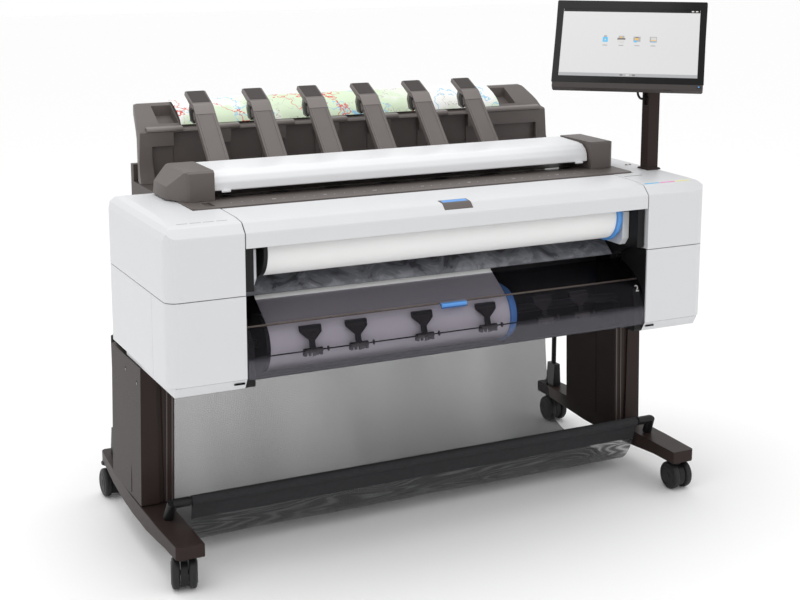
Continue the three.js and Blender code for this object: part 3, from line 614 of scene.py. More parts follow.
def repaint(node, look):
    """Gives a CAD node that keeps its shape a better material."""
    data = frame["nodes"][node].data
    data.materials.clear()
    data.materials.append(LOOKS[look])


# ---- Operators ----------------------------------------------------------------------
class PLOTTER_OT_looks(bpy.types.Operator):
    """Makes all materials of the plotter"""

    bl_idname = "plotter.looks"
    bl_label = "Materials"

    def execute(self, context):
        make_looks(context.scene.plotter_colours)
        return {"FINISHED"}


class PLOTTER_OT_camera(bpy.types.Operator):
    """Places the camera that looks at the plotter from its left front"""

    bl_idname = "plotter.camera"
    bl_label = "Camera"

    PLACE = (-1583.66, -2911.19, 1440.30)
    TURN, TILT, ROLL = 0.47508, 0.18784, 0.00468
    LENS = 66.414
    SHIFT = (-0.0347, -0.12)

    def execute(self, context):
        data = bpy.data.cameras.new("plotter_camera")
        data.sensor_width = 36.0
        data.lens = self.LENS
        data.shift_x, data.shift_y = self.SHIFT
        data.clip_end = 60.0
        camera = bpy.data.objects.new("plotter_camera", data)
        context.scene.collection.objects.link(camera)
        turn = Euler((math.pi / 2 - self.TILT, 0.0, -self.TURN)).to_matrix()
        camera.matrix_world = (Matrix.Translation(at(*self.PLACE)) @
                               (turn @ Matrix.Rotation(self.ROLL, 3, "Z")).to_4x4())
        context.scene.camera = camera
        return {"FINISHED"}


class PLOTTER_OT_monitor_cable(bpy.types.Operator):
    """Makes the short cable that loops from the post to the turning collar"""

    bl_idname = "plotter.monitor_cable"
    bl_label = "Monitor Cable"

    ROUTE = ((647, 192, 1006), (632, 190, 1001), (618, 188, 1006), (613, 189, 1026),
             (620, 191, 1045), (632.4, 192, 1050))
    DIAMETER = 0.006

    def execute(self, context):
        data = bpy.data.curves.new("monitor_cable_loop", "CURVE")
        data.dimensions = "3D"
        data.bevel_depth = self.DIAMETER / 2
        data.bevel_resolution = 4
        data.resolution_u = 8
        data.use_fill_caps = True
        spline = data.splines.new("BEZIER")
        spline.bezier_points.add(len(self.ROUTE) - 1)
        for point, place in zip(spline.bezier_points, self.ROUTE):
            point.co = at(*place)
            point.handle_left_type = point.handle_right_type = "AUTO"
        cable = bpy.data.objects.new("monitor_cable_loop", data)
        context.scene.collection.objects.link(cable)
        data.materials.append(LOOKS["rubber"])
        fit(cable, "machine", slot_of_node("monitor_cable"), "monitor_cable")
        context.view_layer.update()
        return {"FINISHED"}


class PLOTTER_OT_covers(bpy.types.Operator):
    """Finishes the white moulded covers, the front hood and the marks on them"""

    bl_idname = "plotter.covers"
    bl_label = "Covers"

    BAY_HALF = 523                  # inner end of the bottom pans, at the bay
    PAN_END = 684

    def execute(self, context):
        sizes = context.scene.plotter_sizes
        for label, _ in ALL_SIDES:
            soften(f"upper_cover_{label}", "cover", sizes.cover_edge, 3, 14.0)
            soften(f"side_panel_{label}", "cover", sizes.part_edge)
        soften("ink_door", "cover", sizes.cover_edge)
        soften("lower_cover_right", "cover", sizes.cover_edge)
        soften("front_hood", "cover", sizes.part_edge, 3, 14.0)
        self.add_pans()
        self.add_marks()
        self.add_handle(sizes)
        return {"FINISHED"}

    def add_pans(self):
        """White trays under the casings, and black cheeks that close them to the bay."""
        section = [(1.5, 466.2), (15.5, 442.4), (380, 442.4), (380, 466.2)]
        for label, side in ALL_SIDES:
            cheek = block(f"bay_cheek_{label}", at(side * 521.2, 4.0, 467.5),
                          at(side * 522.8, 108.0, 650.5))
            fit(paint(cheek, "black"), "machine", "frame_grey")
            left, right = sorted((side * self.BAY_HALF, side * self.PAN_END))
            pan = side_prism(f"bottom_pan_{label}", section, left, right, 0.0015)
            fit(paint(pan, "cover"), "machine", "white_abs")
            slot = block(f"bottom_slot_{label}", at(side * 528, 3.0, 455),
                         at(side * 552, 12.0, 459), 0.0004)
            fit(paint(slot, "void"), "machine", "frame_grey")

    def add_marks(self):
        """Thin dashes on the left ridge and three ink colours on the right one."""
        dashes = [block("dash", at(-660 + i * 29.5, 44.0, 813.0),
                        at(-636 + i * 29.5, 45.6, 813.7)) for i in range(4)]
        fit(paint(merge("left_cover_dashes", dashes), "grey_mark"), "machine", "white_abs")
        for i, ink in enumerate(("cyan", "magenta", "yellow")):
            left = 531 + i * 46
            outline = [(29.0, 811.4), (34.0, 811.9), (34.0, 812.5), (29.0, 812.0)]
            strip = side_prism(f"ink_strip_{ink}", outline, left, left + 43)
            fit(paint(strip, ink), "machine", "white_abs")
        line = block("right_cover_line", at(532, 119.2, 816.2), at(586, 120.4, 817.2))
        studs = [rod("stud", at(x, 268, 816.5), at(x, 268, 819.0), 0.0035, 16, 0.0006)
                 for x in (640, 651)]
        fit(paint(line, "grey_mark"), "machine", "white_abs")
        fit(paint(merge("right_cover_studs", studs), "steel"), "machine", "white_abs")

    def add_handle(self, sizes):
        """Sunk hood handle: a warm grey plate with a blue finger strip at its rear."""
        soften("hood_handle", "scanner", sizes.part_edge, 2)
        strip = side_prism("hood_handle_strip", [(28, 811.7), (43, 813.5), (43, 814.1),
                                                (28, 812.3)], -32, 32, 0.0003)
        fit(paint(strip, "blue"), "hood", slot_of_node("hood_handle"))


class PLOTTER_OT_scanner(bpy.types.Operator):
    """Finishes the scan bed with its marks, the lid and the two end caps"""

    bl_idname = "plotter.scanner"
    bl_label = "Scanner"

    RULER = 960                     # length of the printed ruler
    PRINT = (819.9, 820.15)         # underside and top of the print on the bed

    def execute(self, context):
        sizes = context.scene.plotter_sizes
        soften("scan_bed", "scanner", sizes.part_edge)
        soften("scanner_lid", "lid", 0.004, 4, 12.0)
        for label, _ in ALL_SIDES:
            soften(f"scanner_end_{label}", "scanner", sizes.cap_edge, 4)
        self.add_bed_marks(sizes)
        self.add_lid_tabs()
        self.add_glass()
        return {"FINISHED"}

    def add_bed_marks(self, sizes):
        """Printed ruler on the bed: short ticks, with a longer one and a digit each fifth."""
        draw = random.Random(7)
        ticks = []
        step = sizes.ruler_pitch / MM
        count = int(self.RULER / step)
        low, high = self.PRINT
        for i in range(-count // 2, count // 2 + 1):
            x = i * step
            tall = 9.0 if i % 5 == 0 else 4.0
            ticks.append(block("tick", at(x - 0.7, 196, low), at(x + 0.7, 196 + tall, high)))
            if i % 5 == 0:
                wide = draw.uniform(3.0, 6.0)
                ticks.append(block("tick", at(x + 3, 199, low), at(x + 3 + wide, 203, high)))
        fit(paint(merge("scan_bed_ruler", ticks), "mark"), "machine", "warm_grey_abs")

    def add_lid_tabs(self):
        """Small grips under the lid's front edge."""
        tabs = [block("tab", at(x, 243, 835.5), at(x + 22, 250, 841), 0.0015)
                for x in (-488, 466)]
        fit(paint(merge("scanner_lid_tabs", tabs), "lid"), "lid", "white_abs")

    def add_glass(self):
        """Glass strip in the bed under the lid."""
        glass = block("scan_glass", at(-479, 269, 816.2), at(479, 299, 819.6), 0.0006)
        fit(paint(glass, "gloss_black"), "machine", "warm_grey_abs")


class PLOTTER_OT_stacker(bpy.types.Operator):
    """Finishes the stacker tray, its arms and the printed sheet on them"""

    bl_idname = "plotter.stacker"
    bl_label = "Stacker"

    COUNT = 6
    PITCH = 148
    WIDTH = 52
    LEFT = -466                     # left side of the first arm
    TRAY_HALF = 560
    # Side lines of an arm's face, its knuckle and its tip, as depth and height.
    FACE = [(396, 812), (396, 884), (452, 945), (504, 1001)]
    KNUCKLE = [(489, 984.5), (506, 1003), (513, 1007.5)]
    TIP = [(520, 1011), (566, 1033)]

    def execute(self, context):
        sizes = context.scene.plotter_sizes
        soften("stacker_tray", "scanner", 0.003, 3)
        sheet = soften("printed_sheet", "map", 0.0)
        only(sheet)
        bpy.ops.object.shade_smooth_by_angle(angle=math.radians(60.0))
        for i in range(self.COUNT):
            soften(f"stacker_arm_{i + 1}", "arm", sizes.part_edge)
            self.add_arm_trim(i)
        self.add_lips()
        return {"FINISHED"}

    def add_arm_trim(self, i):
        """Raised ridges on an arm's face, its lighter knuckle and its sprung clip."""
        left = self.LEFT + i * self.PITCH
        parts = []
        for x in (left + 5.5, left + self.WIDTH - 7.0):
            parts.append(paint(side_prism("ridge", strip_outline(self.FACE, 1.1), x, x + 1.5),
                               "lip"))
        parts.append(paint(side_prism("knuckle", strip_outline(self.KNUCKLE, 1.2),
                                      left + 0.6, left + self.WIDTH - 0.6, 0.0004), "lip"))
        parts.append(paint(side_prism("tip", strip_outline(self.TIP, 0.6),
                                      left + 4, left + self.WIDTH - 4), "bezel_trim"))
        clip = side_prism("clip", [(500, 996), (512, 1000), (517, 985), (505, 968),
                                   (492, 966)], left - 5, left - 0.5, 0.0012)
        parts.append(paint(clip, "black"))
        fit(merge(f"stacker_arm_trim_{i + 1}", parts), "machine", "warm_grey_abs")

    def add_lips(self):
        """Half-round bars along the tray's front edge, between the arms."""
        section = [(577.5, 935), (577, 940), (580, 944.5), (590, 947), (598, 946.5),
                   (598, 942)]
        edges = [-self.TRAY_HALF]
        for i in range(self.COUNT):
            left = self.LEFT + i * self.PITCH
            edges += [left - 2, left + self.WIDTH + 8]
        edges.append(self.TRAY_HALF)
        bars = [side_prism("lip", section, a, b, 0.0012)
                for a, b in zip(edges[::2], edges[1::2])]
        fit(paint(merge("stacker_lips", bars), "lip"), "machine", "warm_grey_abs")


class PLOTTER_OT_stand(bpy.types.Operator):
    """Finishes the foot beams, legs and cross bar, with their trims and screws"""

    bl_idname = "plotter.stand"
    bl_label = "Stand"

    LEG_FOOT = 113                  # height of a leg's foot
    LEAN = 9 / 335                  # how far a leg leans inwards for its height

    def execute(self, context):
        sizes = context.scene.plotter_sizes
        for label, side in ALL_SIDES:
            soften(f"foot_beam_{label}", "stand", 0.003, 3)
            soften(f"leg_{label}", "stand", 0.0)
            self.add_leg_trim(label, side)
        soften("stand_crossbar", "stand", sizes.plate_edge)
        return {"FINISHED"}

    def lean_at(self, x, z):
        """Where a line that starts at this width at a leg's foot is, at a height."""
        return x - (z - self.LEG_FOOT) * self.LEAN

    def leaning(self, side, inner, width, low, high):
        """Front outline of a strip that leans inwards with its leg."""
        feet = [(side * self.lean_at(inner, z), z) for z in (low, high)]
        return feet + [(side * self.lean_at(inner + width, z), z) for z in (high, low)]

    def add_leg_trim(self, label, side):
        """Bright edge strips on the front, a seam on the inside and bolts outside."""
        strips = [front_prism("strip", self.leaning(side, inner, width, 116.0, 440.0),
                              253.2, 255.4, 0.0005)
                  for inner, width in ((620.0, 4.0), (634.0, 3.0))]
        fit(paint(merge(f"leg_strips_{label}", strips), "trim"), "machine", "stand_steel")
        seam = front_prism(f"leg_seam_{label}",
                           self.leaning(side, 616.9, 0.9, 114.0, 441.0), 344.0, 346.4)
        fit(paint(seam, "void"), "machine", "stand_steel")
        bolts, sockets = [], []
        for y, z in ((376, 409), (284, 400)):
            face = self.lean_at(696, z)
            bolts.append(rod("bolt", at(side * (face - 0.5), y, z),
                             at(side * (face + 0.9), y, z), 0.0068, 24, 0.0005))
            sockets.append(rod("socket", at(side * (face + 0.2), y, z),
                             at(side * (face + 1.3), y, z), 0.0036, 6))
        parts = [paint(b, "void") for b in bolts] + [paint(b, "steel") for b in sockets]
        fit(merge(f"leg_bolts_{label}", parts), "machine", "stand_steel")


class PLOTTER_OT_castors(bpy.types.Operator):
    """Finishes the castor forks and twin wheels, with rings on the wheel faces"""

    bl_idname = "plotter.castors"
    bl_label = "Castors"

    COVER_RADIUS = 0.0305
    COVER_WIDTH = 0.0168            # a little less than the gap between the wheels
    AXLE_ROOM = 0.006               # radius left open round the axle
    WHEEL_FACE = 0.028              # outer wheel faces from the castor's middle

    def execute(self, context):
        sizes = context.scene.plotter_sizes
        joints = {j["child"]: j for j in frame["joints"]}
        for label in CASTORS:
            soften(f"castor_fork_{label}", "black", sizes.part_edge)
            soften(f"castor_wheels_{label}", "tread", 0.0018, 3, 25.0)
            spin = joints[f"wheels_{label}"]
            centre, axis = Vector(spin["pos_m"]), Vector(spin["axis"]).normalized()
            self.add_rings(label, centre, axis)
            self.add_cover(label, centre, axis)
        return {"FINISHED"}

    def add_cover(self, label, centre, axis):
        """Cover that fills the gap between the twin wheels, open round their axle."""
        only()
        bpy.ops.mesh.primitive_cylinder_add(
            vertices=40, radius=self.COVER_RADIUS, depth=self.COVER_WIDTH, location=centre,
            rotation=axis.to_track_quat("Z", "Y").to_euler(), end_fill_type="NOTHING")
        cover = settle(bpy.context.object, f"castor_cover_{label}")
        wall = cover.modifiers.new("wall", "SOLIDIFY")
        wall.thickness = self.COVER_RADIUS - self.AXLE_ROOM
        wall.offset = -1.0
        bpy.ops.object.modifier_apply(modifier=wall.name)
        round_edges(cover, 0.001)
        fit(paint(cover, "black"), f"castor_{label}", slot_of_node(f"castor_fork_{label}"))

    def add_rings(self, label, centre, axis):
        """Hub cap and raised rim on both outer faces of a wheel pair."""
        parts = []
        for side in (-1, 1):
            out = axis * side
            face = centre + out * self.WHEEL_FACE
            parts.append(rod("cap", face - out * 0.001, face + out * 0.0012, 0.0085, 24, 0.0008))
            only()
            bpy.ops.mesh.primitive_torus_add(
                location=face, rotation=out.to_track_quat("Z", "Y").to_euler(),
                major_radius=0.0245, minor_radius=0.0012, major_segments=40, minor_segments=8)
            parts.append(round_edges(settle(bpy.context.object, "ring"), 0.0))
        fit(paint(merge(f"castor_rings_{label}", parts), "tread"), f"wheels_{label}",
            "castor_rubber")


class PLOTTER_OT_basket(bpy.types.Operator):
    """Hangs the cloth basket between its two bars"""

    bl_idname = "plotter.basket"
    bl_label = "Paper Basket"

    HALF = 610.0
    # Depth and height of the cloth from the front bar, under the machine, to the rear.
    LINE = ((148, 141), (150, 126), (158, 98), (172, 66), (196, 38), (236, 20), (300, 14.5),
            (400, 14.5), (480, 18), (530, 34), (560, 70), (580, 130), (596, 220),
            (608, 320), (619, 415))
    COLUMNS, ROWS = 96, 84
    FLOOR_ROOM = 0.03               # below this height the folds only rise
    DRAWN_IN = 0.006                # how much narrower the cloth gets between its bars

    def execute(self, context):
        sizes = context.scene.plotter_sizes
        soften("basket_front_bar", "black", 0.0008)
        soften("basket_rear_frame", "black", 0.0008)
        line = self.smooth_line()
        only()
        bpy.ops.mesh.primitive_grid_add(x_subdivisions=self.COLUMNS,
                                        y_subdivisions=self.ROWS, size=2.0)
        cloth = bpy.context.object
        for vertex in cloth.data.vertices:
            vertex.co = self.spot(vertex.co.x, (vertex.co.y + 1) / 2, line,
                                  sizes.cloth_wave)
        settle(cloth, "basket_cloth")
        cloth.data.materials.append(LOOKS["cloth"])
        wall = cloth.modifiers.new("wall", "SOLIDIFY")
        wall.thickness = sizes.cloth_thickness
        wall.offset = 0.0
        bpy.ops.object.modifier_apply(modifier=wall.name)
        bpy.ops.object.shade_smooth_by_angle(angle=math.radians(60.0))
        fit(cloth, "machine", "bag_fabric", "basket_fabric")
        sleeves = [self.sleeve("front", 147, 151, 11.6), self.sleeve("rear", 620, 424, 10.0)]
        hem = self.hem()
        return {"FINISHED"}

    def smooth_line(self):
        """The cloth's side line with many points, as vectors of depth and height."""
        points = [Vector((y, z)) for y, z in self.LINE]
        out = []
        for i in range(len(points) - 1):
            p0 = points[max(i - 1, 0)]
            p1, p2 = points[i], points[i + 1]
            p3 = points[min(i + 2, len(points) - 1)]
            for k in range(8):
                t = k / 8
                out.append(0.5 * (2 * p1 + (p2 - p0) * t + (2 * p0 - 5 * p1 + 4 * p2 - p3) * t * t
                                  + (3 * p1 - p0 - 3 * p2 + p3) * t ** 3) * MM)
        out.append(points[-1] * MM)
        return out

    def spot(self, across, along, line, wave):
        """Where a point of the flat cloth hangs, with shallow folds away from the bars."""
        lengths = [0.0]
        for a, b in zip(line, line[1:]):
            lengths.append(lengths[-1] + (b - a).length)
        goal = along * lengths[-1]
        i = next((k for k in range(1, len(lengths)) if lengths[k] >= goal), len(line) - 1)
        span = lengths[i] - lengths[i - 1]
        t = (goal - lengths[i - 1]) / span
        here = line[i - 1].lerp(line[i], t)
        way = (line[i] - line[i - 1]).normalized()
        free = math.sin(math.pi * along) ** 0.7
        fold = (math.sin(9.0 * across + 5.0 * along) * 0.5
                + math.sin(23.0 * across - 7.0 * along + 1.3) * 0.22
                + math.sin(4.0 * across * along * 3.0 + 11.0 * along) * 0.35)
        lift = max(fold, -1.0) * wave * free
        if here.y < self.FLOOR_ROOM:
            lift = abs(lift)
        half = self.HALF * MM * (1.0 - self.DRAWN_IN * free)
        return Vector((MIDDLE_X + across * half, FRONT_Y + here.x - way.y * lift,
                       here.y + way.x * lift))

    def sleeve(self, label, y, z, radius):
        """Cloth sleeve sewn round a bar, slightly uneven along its length."""
        only()
        bpy.ops.mesh.primitive_cylinder_add(
            vertices=28, radius=radius * MM, depth=2 * self.HALF * MM,
            location=at(0, y, z), rotation=(0.0, math.pi / 2, 0.0), end_fill_type="NOTHING")
        tube = settle(bpy.context.object, f"basket_sleeve_{label}")
        bpy.ops.object.mode_set(mode="EDIT")
        bpy.ops.mesh.select_all(action="SELECT")
        bpy.ops.mesh.subdivide(number_cuts=3)
        bpy.ops.object.mode_set(mode="OBJECT")
        wall = tube.modifiers.new("wall", "SOLIDIFY")
        wall.thickness = 0.0008
        wall.offset = -1.0
        bpy.ops.object.modifier_apply(modifier=wall.name)
        round_edges(tube, 0.0)
        return fit(paint(tube, "hem"), "machine", "bag_fabric")

    def hem(self):
        """Folded hem below the front sleeve, a second layer over the cloth."""
        path = [(146.2, 141), (148.0, 126), (152.5, 112), (155.4, 103)]
        outline = [at(-self.HALF + 1, y, z) for y, z in strip_outline(path, 0.9)]
        hem = prism("basket_hem", outline, "x", 0.0, (2 * self.HALF - 2) * MM, 0.0003)
        return fit(paint(hem, "hem"), "machine", "bag_fabric")


class PLOTTER_OT_rolls(bpy.types.Operator):
    """Finishes both paper rolls, their spindles, hubs and rests"""

    bl_idname = "plotter.rolls"
    bl_label = "Rolls"

    def execute(self, context):
        sizes = context.scene.plotter_sizes
        for number in (1, 2):
            soften(f"roll_{number}_paper", "paper", 0.0006, 2)
            soften(f"roll_{number}_spindle", "black", 0.0008, 2)
            soften(f"roll_{number}_hub", "blue", sizes.part_edge, 2)
        soften("roll_2_web", "paper", 0.0)
        for label, _ in ALL_SIDES:
            soften(f"spindle_rest_{label}", "cover", 0.0015, 3)
        repaint("media_guide", "film")
        return {"FINISHED"}


class PLOTTER_OT_lower_door(bpy.types.Operator):
    """Finishes the smoked door, its latch and the presser bar behind it"""

    bl_idname = "plotter.lower_door"
    bl_label = "Lower Door"

    PRESSERS = (-362, -250, -83, 85, 241, 344)
    ROD = (17, 507)                 # depth and height of the pressers' rod
    ROD_REACH = (0.0001, 0.0043)    # its surface, as distances from its middle
    WIRE_SHARE = 0.4                # radius of the bare wire, as a share of the rod's
    FOOT_SHARE = 0.35               # how narrow the ribs of a fan get at its foot

    def execute(self, context):
        sizes = context.scene.plotter_sizes
        soften("roll_2_door", "door", 0.0)
        soften("door_latch", "blue", sizes.part_edge)
        soften("presser_bar", "black", 0.0005, 2)
        self.thin_rod()
        self.add_presser_trim()
        self.add_ridge()
        self.add_number()
        return {"FINISHED"}

    def thin_rod(self):
        """Draws the pressers' common rod in to its bare wire between the clips."""
        middle = at(0, *self.ROD)
        nearest, farthest = self.ROD_REACH
        for vertex in bpy.data.objects["presser_bar_finished"].data.vertices:
            reach = math.hypot(vertex.co.y - middle.y, vertex.co.z - middle.z)
            if nearest < reach < farthest:
                vertex.co.y = middle.y + (vertex.co.y - middle.y) * self.WIRE_SHARE
                vertex.co.z = middle.z + (vertex.co.z - middle.z) * self.WIRE_SHARE

    def add_presser_trim(self):
        """Ribs on the six black fans, and the plated clips and rollers on their rod."""
        ribs, steel = [], []
        for x in self.PRESSERS:
            for shift in (-17, -9, 0, 9, 17):
                foot = x + shift * self.FOOT_SHARE
                outline = [at(foot - 1, 21.2, 530), at(foot + 1, 21.2, 530),
                           at(x + shift + 1, 28.8, 551), at(x + shift - 1, 28.8, 551)]
                ribs.append(prism("rib", outline, "y", 0.0, -0.002))
            ribs.append(block("brow", at(x - 25, 26.9, 549), at(x + 25, 29.5, 552), 0.0006))
            steel.append(block("clip", at(x - 21, 10.4, 503), at(x + 21, 12, 511), 0.0005))
            steel.append(block("tongue", at(x - 4, 10.2, 495), at(x + 4, 11.8, 505), 0.0005))
            for end in (-19, -9, 9, 19):
                steel.append(rod("roller", at(x + end - 2.4, 14.5, 499.5),
                                 at(x + end + 2.4, 14.5, 499.5), 0.0045, 16, 0.0006))
            steel.append(rod("washer", at(x + 36, *self.ROD), at(x + 37.5, *self.ROD),
                             0.006, 18))
        # Painted highlight: the ribs and brows are a lighter umber than the black fans, for the light along their
        # edges.
        fit(paint(merge("presser_ribs", ribs), "bezel_trim"), "presser",
            slot_of_node("presser_bar"))
        fit(paint(merge("presser_clips", steel), "clip"), "presser", "metal")

    def add_number(self):
        """The lower roll's number at the right end of the door."""
        only()
        bpy.ops.object.text_add(location=at(499.5, 11.2, 547.0),
                                rotation=(math.radians(63.0), 0.0, 0.0))
        bpy.context.object.data.body = "2"
        bpy.context.object.data.size = 0.023
        bpy.context.object.data.extrude = 0.0002
        bpy.ops.object.convert(target="MESH")
        number = settle(bpy.context.object, "roll_2_number")
        fit(paint(number, "mark"), "lower_door", "smoked_plastic")

    def add_ridge(self):
        """Thin metal stiffener along the door's fold, on both sides of the latch."""
        ridge = [(34.0, 571.6), (37.5, 574.4), (38.0, 573.4), (34.6, 570.6)]
        parts = [side_prism("ridge", ridge, a, b) for a, b in ((-519, -36), (36, 519))]
        fit(paint(merge("door_stiffener", parts), "bronze"), "lower_door", "smoked_plastic")


class PLOTTER_OT_monitor(bpy.types.Operator):
    """Finishes the touch monitor: glass front, screen with its page, post and arm"""

    bl_idname = "plotter.monitor"
    bl_label = "Monitor"

    CENTRE = (576.4, 179.2, 1146.7)
    YAW, LEAN = -38.5, -34.0

    def execute(self, context):
        sizes = context.scene.plotter_sizes
        soften("monitor_post", "stand", 0.006, 4)
        soften("monitor_arm", "black", sizes.part_edge)
        soften("monitor_housing", "bezel_trim", 0.002, 3)
        soften("monitor_screen", "display", 0.0)
        soften("power_button", "bezel_trim", 0.0004, 2)
        light = self.seat(self.plate("power_light", "blue", 175.2, 179.0, -123.6, -120.4,
                                     -1.3, -0.9))
        fit(light, "power_button", slot_of_node("power_button"))
        self.add_glass()
        self.add_page()
        self.add_back()
        return {"FINISHED"}

    def plate(self, name, look, x0, x1, z0, z1, y0=-0.2, y1=1.25, edge=0.0):
        """A thin plate in the monitor's own width, depth and height."""
        only()
        bpy.ops.mesh.primitive_cube_add(
            size=1.0, location=((x0 + x1) / 2 * MM, (y0 + y1) / 2 * MM, (z0 + z1) / 2 * MM),
            scale=((x1 - x0) * MM, (y1 - y0) * MM, (z1 - z0) * MM))
        return paint(round_edges(settle(bpy.context.object, name), edge * MM), look)

    def seat(self, obj):
        """Turns a piece from the monitor's own frame into the plotter's."""
        turn = (Matrix.Rotation(math.radians(self.YAW), 4, "Z") @
                Matrix.Rotation(math.radians(self.LEAN), 4, "X"))
        obj.matrix_world = Matrix.Translation(at(*self.CENTRE)) @ turn
        return settle(obj, obj.name)

    def add_glass(self):
        """Black glass border round the screen, made of four bars."""
        bars = [
            self.plate("glass", "gloss_black", -189, 189, 97.4, 120.5, -0.3, 0.6),
            self.plate("glass", "gloss_black", -189, 189, -115.5, -97.4, -0.3, 0.6),
            self.plate("glass", "gloss_black", -189, -173, -97.5, 97.5, -0.3, 0.6),
            self.plate("glass", "gloss_black", 173, 189, -97.5, 97.5, -0.3, 0.6),
        ]
        glass = self.seat(merge("monitor_glass", bars))
        fit(glass, "monitor", "black_abs")

    def add_page(self):
        """A plain start page: dark top bar, four icons with text bars, lower bar."""
        parts = [
            self.plate("bar", "gloss_black", -172, 172, 89, 97),
            self.plate("bar", "grey_mark", -172, 172, -97, -88),
            self.plate("sign", "mark", 151, 157, 91.5, 95, -0.3),
            self.plate("sign", "mark", 161, 167, 91.5, 95, -0.3),
            self.plate("dot", "mark", -4, 4, -94.5, -90.5, -0.3),
            self.plate("dot", "lip", -19, -12, -94.5, -90.5, -0.3),
            self.plate("dot", "lip", 12, 19, -94.5, -90.5, -0.3),
        ]
        for centre in (-61.5, -21.0, 19.0, 59.0):
            parts.append(self.plate("caption", "grey_mark", centre - 6, centre + 6, -9, -6.5,
                                    -0.3, edge=0.3))
        parts += self.icons()
        page = self.seat(merge("monitor_page", parts))
        fit(page, "monitor", "screen")

    def icons(self):
        """A memory stick, a printer, a scanned sheet and a tray."""
        z = 9.5
        return [
            self.plate("icon", "cyan", -68, -55, z - 8, z + 6, -0.4, edge=0.8),
            self.plate("icon", "grey_mark", -65, -58, z + 6, z + 11, -0.4),
            self.plate("icon", "mark", -63, -60, z - 4, z + 1, -0.5),
            self.plate("icon", "lip", -31, -11, z - 1, z + 4, -0.5, edge=0.5),
            self.plate("icon", "grey_mark", -28, -14, z + 4, z + 10, -0.4),
            self.plate("icon", "mark", -27, -15, z - 9, z - 1, -0.4),
            self.plate("icon", "amber", -25, -19, z + 4.5, z + 7.5, -0.5),
            self.plate("icon", "grey_mark", 9, 27, z - 6, z + 9, -0.4, edge=1.0),
            self.plate("icon", "cyan", 11, 18, z - 8, z - 3, -0.5, edge=0.5),
            self.plate("icon", "amber", 13, 22, z - 1, z + 4, -0.5, edge=0.5),
            self.plate("icon", "lip", 14, 22, z + 4.5, z + 7, -0.5),
            self.plate("icon", "grey_mark", 50, 68, z - 7, z + 9, -0.4, edge=1.2),
            self.plate("icon", "mark", 53, 67, z - 4, z + 7, -0.5, edge=0.8),
            self.plate("icon", "amber", 54, 65, z - 4, z - 1.5, -0.6),
            self.plate("icon", "cyan", 54, 65, z - 7, z - 5, -0.6),
        ]

    def add_back(self):
        """Feet under the lower edge and cooling slots in the back."""
        parts = [self.plate("foot", "bezel_trim", x - 8, x + 8, -133.4, -130, 2, 12, 0.6)
                 for x in (-100, 100)]
        parts += [self.plate("slot", "void", x, x + 3, 30, 70, 35.4, 36.3)
                  for x in range(-120, 121, 8)]
        fit(self.seat(merge("monitor_back_details", parts)), "monitor", "black_abs")


class PLOTTER_OT_print_path(bpy.types.Operator):
    """Finishes the inner frame, platen, carriage, feed roller and ink cartridges"""

    bl_idname = "plotter.print_path"
    bl_label = "Print Path"

    def execute(self, context):
        sizes = context.scene.plotter_sizes
        repaint("chassis", "frame")
        repaint("platen", "platen")
        soften("printhead_carriage", "black", sizes.part_edge)
        soften("feed_roller", "rubber", 0.0006, 2)
        soften("ink_cartridges", "black", sizes.part_edge)
        inks = ("cyan", "magenta", "yellow", "mark", "grey_mark", "blue")
        tabs = [paint(block("tab", at(-668 + i * 22, 42.6, 560), at(-654 + i * 22, 44.6, 590),
                            0.0006), ink) for i, ink in enumerate(inks)]
        fit(merge("ink_tabs", tabs), "machine", "black_abs")
        return {"FINISHED"}


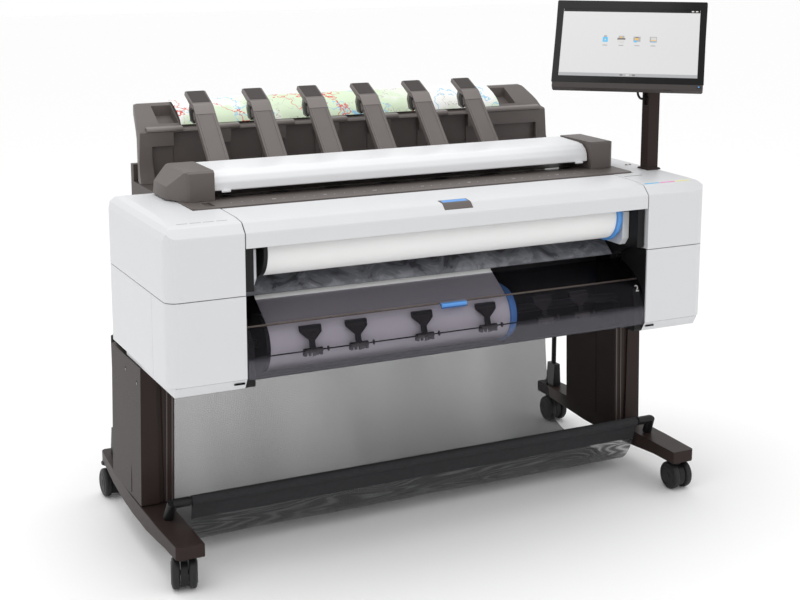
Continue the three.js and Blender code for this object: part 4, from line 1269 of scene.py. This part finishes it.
class PLOTTER_OT_stage(bpy.types.Operator):
    """Sets the pale floor and the soft studio light"""

    bl_idname = "plotter.stage"
    bl_label = "Stage"

    LAMPS = (("top", (-0.6, 0.3, 3.8), 3.0, 34.0),)

    def execute(self, context):
        scene = context.scene
        only()
        bpy.ops.mesh.primitive_plane_add(size=40.0, location=(0.0, 0.0, 0.0))
        floor = settle(bpy.context.object, "stage_floor")
        look, _, shader, _ = new_look("pale_stage_floor")
        shader.inputs["Base Color"].default_value = to_linear("#FDFDFD")
        shader.inputs["Roughness"].default_value = 0.9
        floor.data.materials.append(look)
        for name, place, size, power in self.LAMPS:
            data = bpy.data.lights.new(name, "AREA")
            data.shape = "DISK"
            data.size = size
            data.energy = power
            lamp = bpy.data.objects.new(name, data)
            scene.collection.objects.link(lamp)
            lamp.location = place
            aim = Vector((0.0, 0.0, 0.6)) - lamp.location
            lamp.rotation_euler = aim.to_track_quat("-Z", "Y").to_euler()
        world = bpy.data.worlds.new("studio")
        world.use_nodes = True
        back = world.node_tree.nodes["Background"]
        back.inputs["Color"].default_value = (1.0, 1.0, 1.0, 1.0)
        back.inputs["Strength"].default_value = 1.0
        scene.world = world
        scene.view_settings.view_transform = "Standard"
        return {"FINISHED"}


STEPS = (
    PLOTTER_OT_camera, PLOTTER_OT_looks, PLOTTER_OT_monitor_cable, PLOTTER_OT_covers,
    PLOTTER_OT_scanner, PLOTTER_OT_stacker, PLOTTER_OT_stand, PLOTTER_OT_castors,
    PLOTTER_OT_basket, PLOTTER_OT_rolls, PLOTTER_OT_lower_door, PLOTTER_OT_monitor,
    PLOTTER_OT_print_path, PLOTTER_OT_stage,
)


class PLOTTER_PT_panel(bpy.types.Panel):
    """Lists the steps that build the plotter"""

    bl_idname = "PLOTTER_PT_panel"
    bl_label = "Large Format Plotter"
    bl_space_type = "VIEW_3D"
    bl_region_type = "UI"
    bl_category = "Plotter"

    def draw(self, context):
        for group in (context.scene.plotter_sizes, context.scene.plotter_colours):
            box = self.layout.box()
            for name in group.bl_rna.properties.keys():
                if name not in ("rna_type", "name"):
                    box.prop(group, name)
        for step in STEPS:
            self.layout.operator(step.bl_idname)


CLASSES = (PlotterSizes, PlotterColours) + STEPS + (PLOTTER_PT_panel,)


def register():
    for cls in CLASSES:
        bpy.utils.register_class(cls)
    bpy.types.Scene.plotter_sizes = bpy.props.PointerProperty(type=PlotterSizes)
    bpy.types.Scene.plotter_colours = bpy.props.PointerProperty(type=PlotterColours)


def unregister():
    del bpy.types.Scene.plotter_colours
    del bpy.types.Scene.plotter_sizes
    for cls in reversed(CLASSES):
        bpy.utils.unregister_class(cls)


def main():
    """Builds everything in order."""
    register()
    for step in STEPS:
        group, call = step.bl_idname.split(".")
        getattr(getattr(bpy.ops, group), call)()


if __name__ == "__main__":
    main()
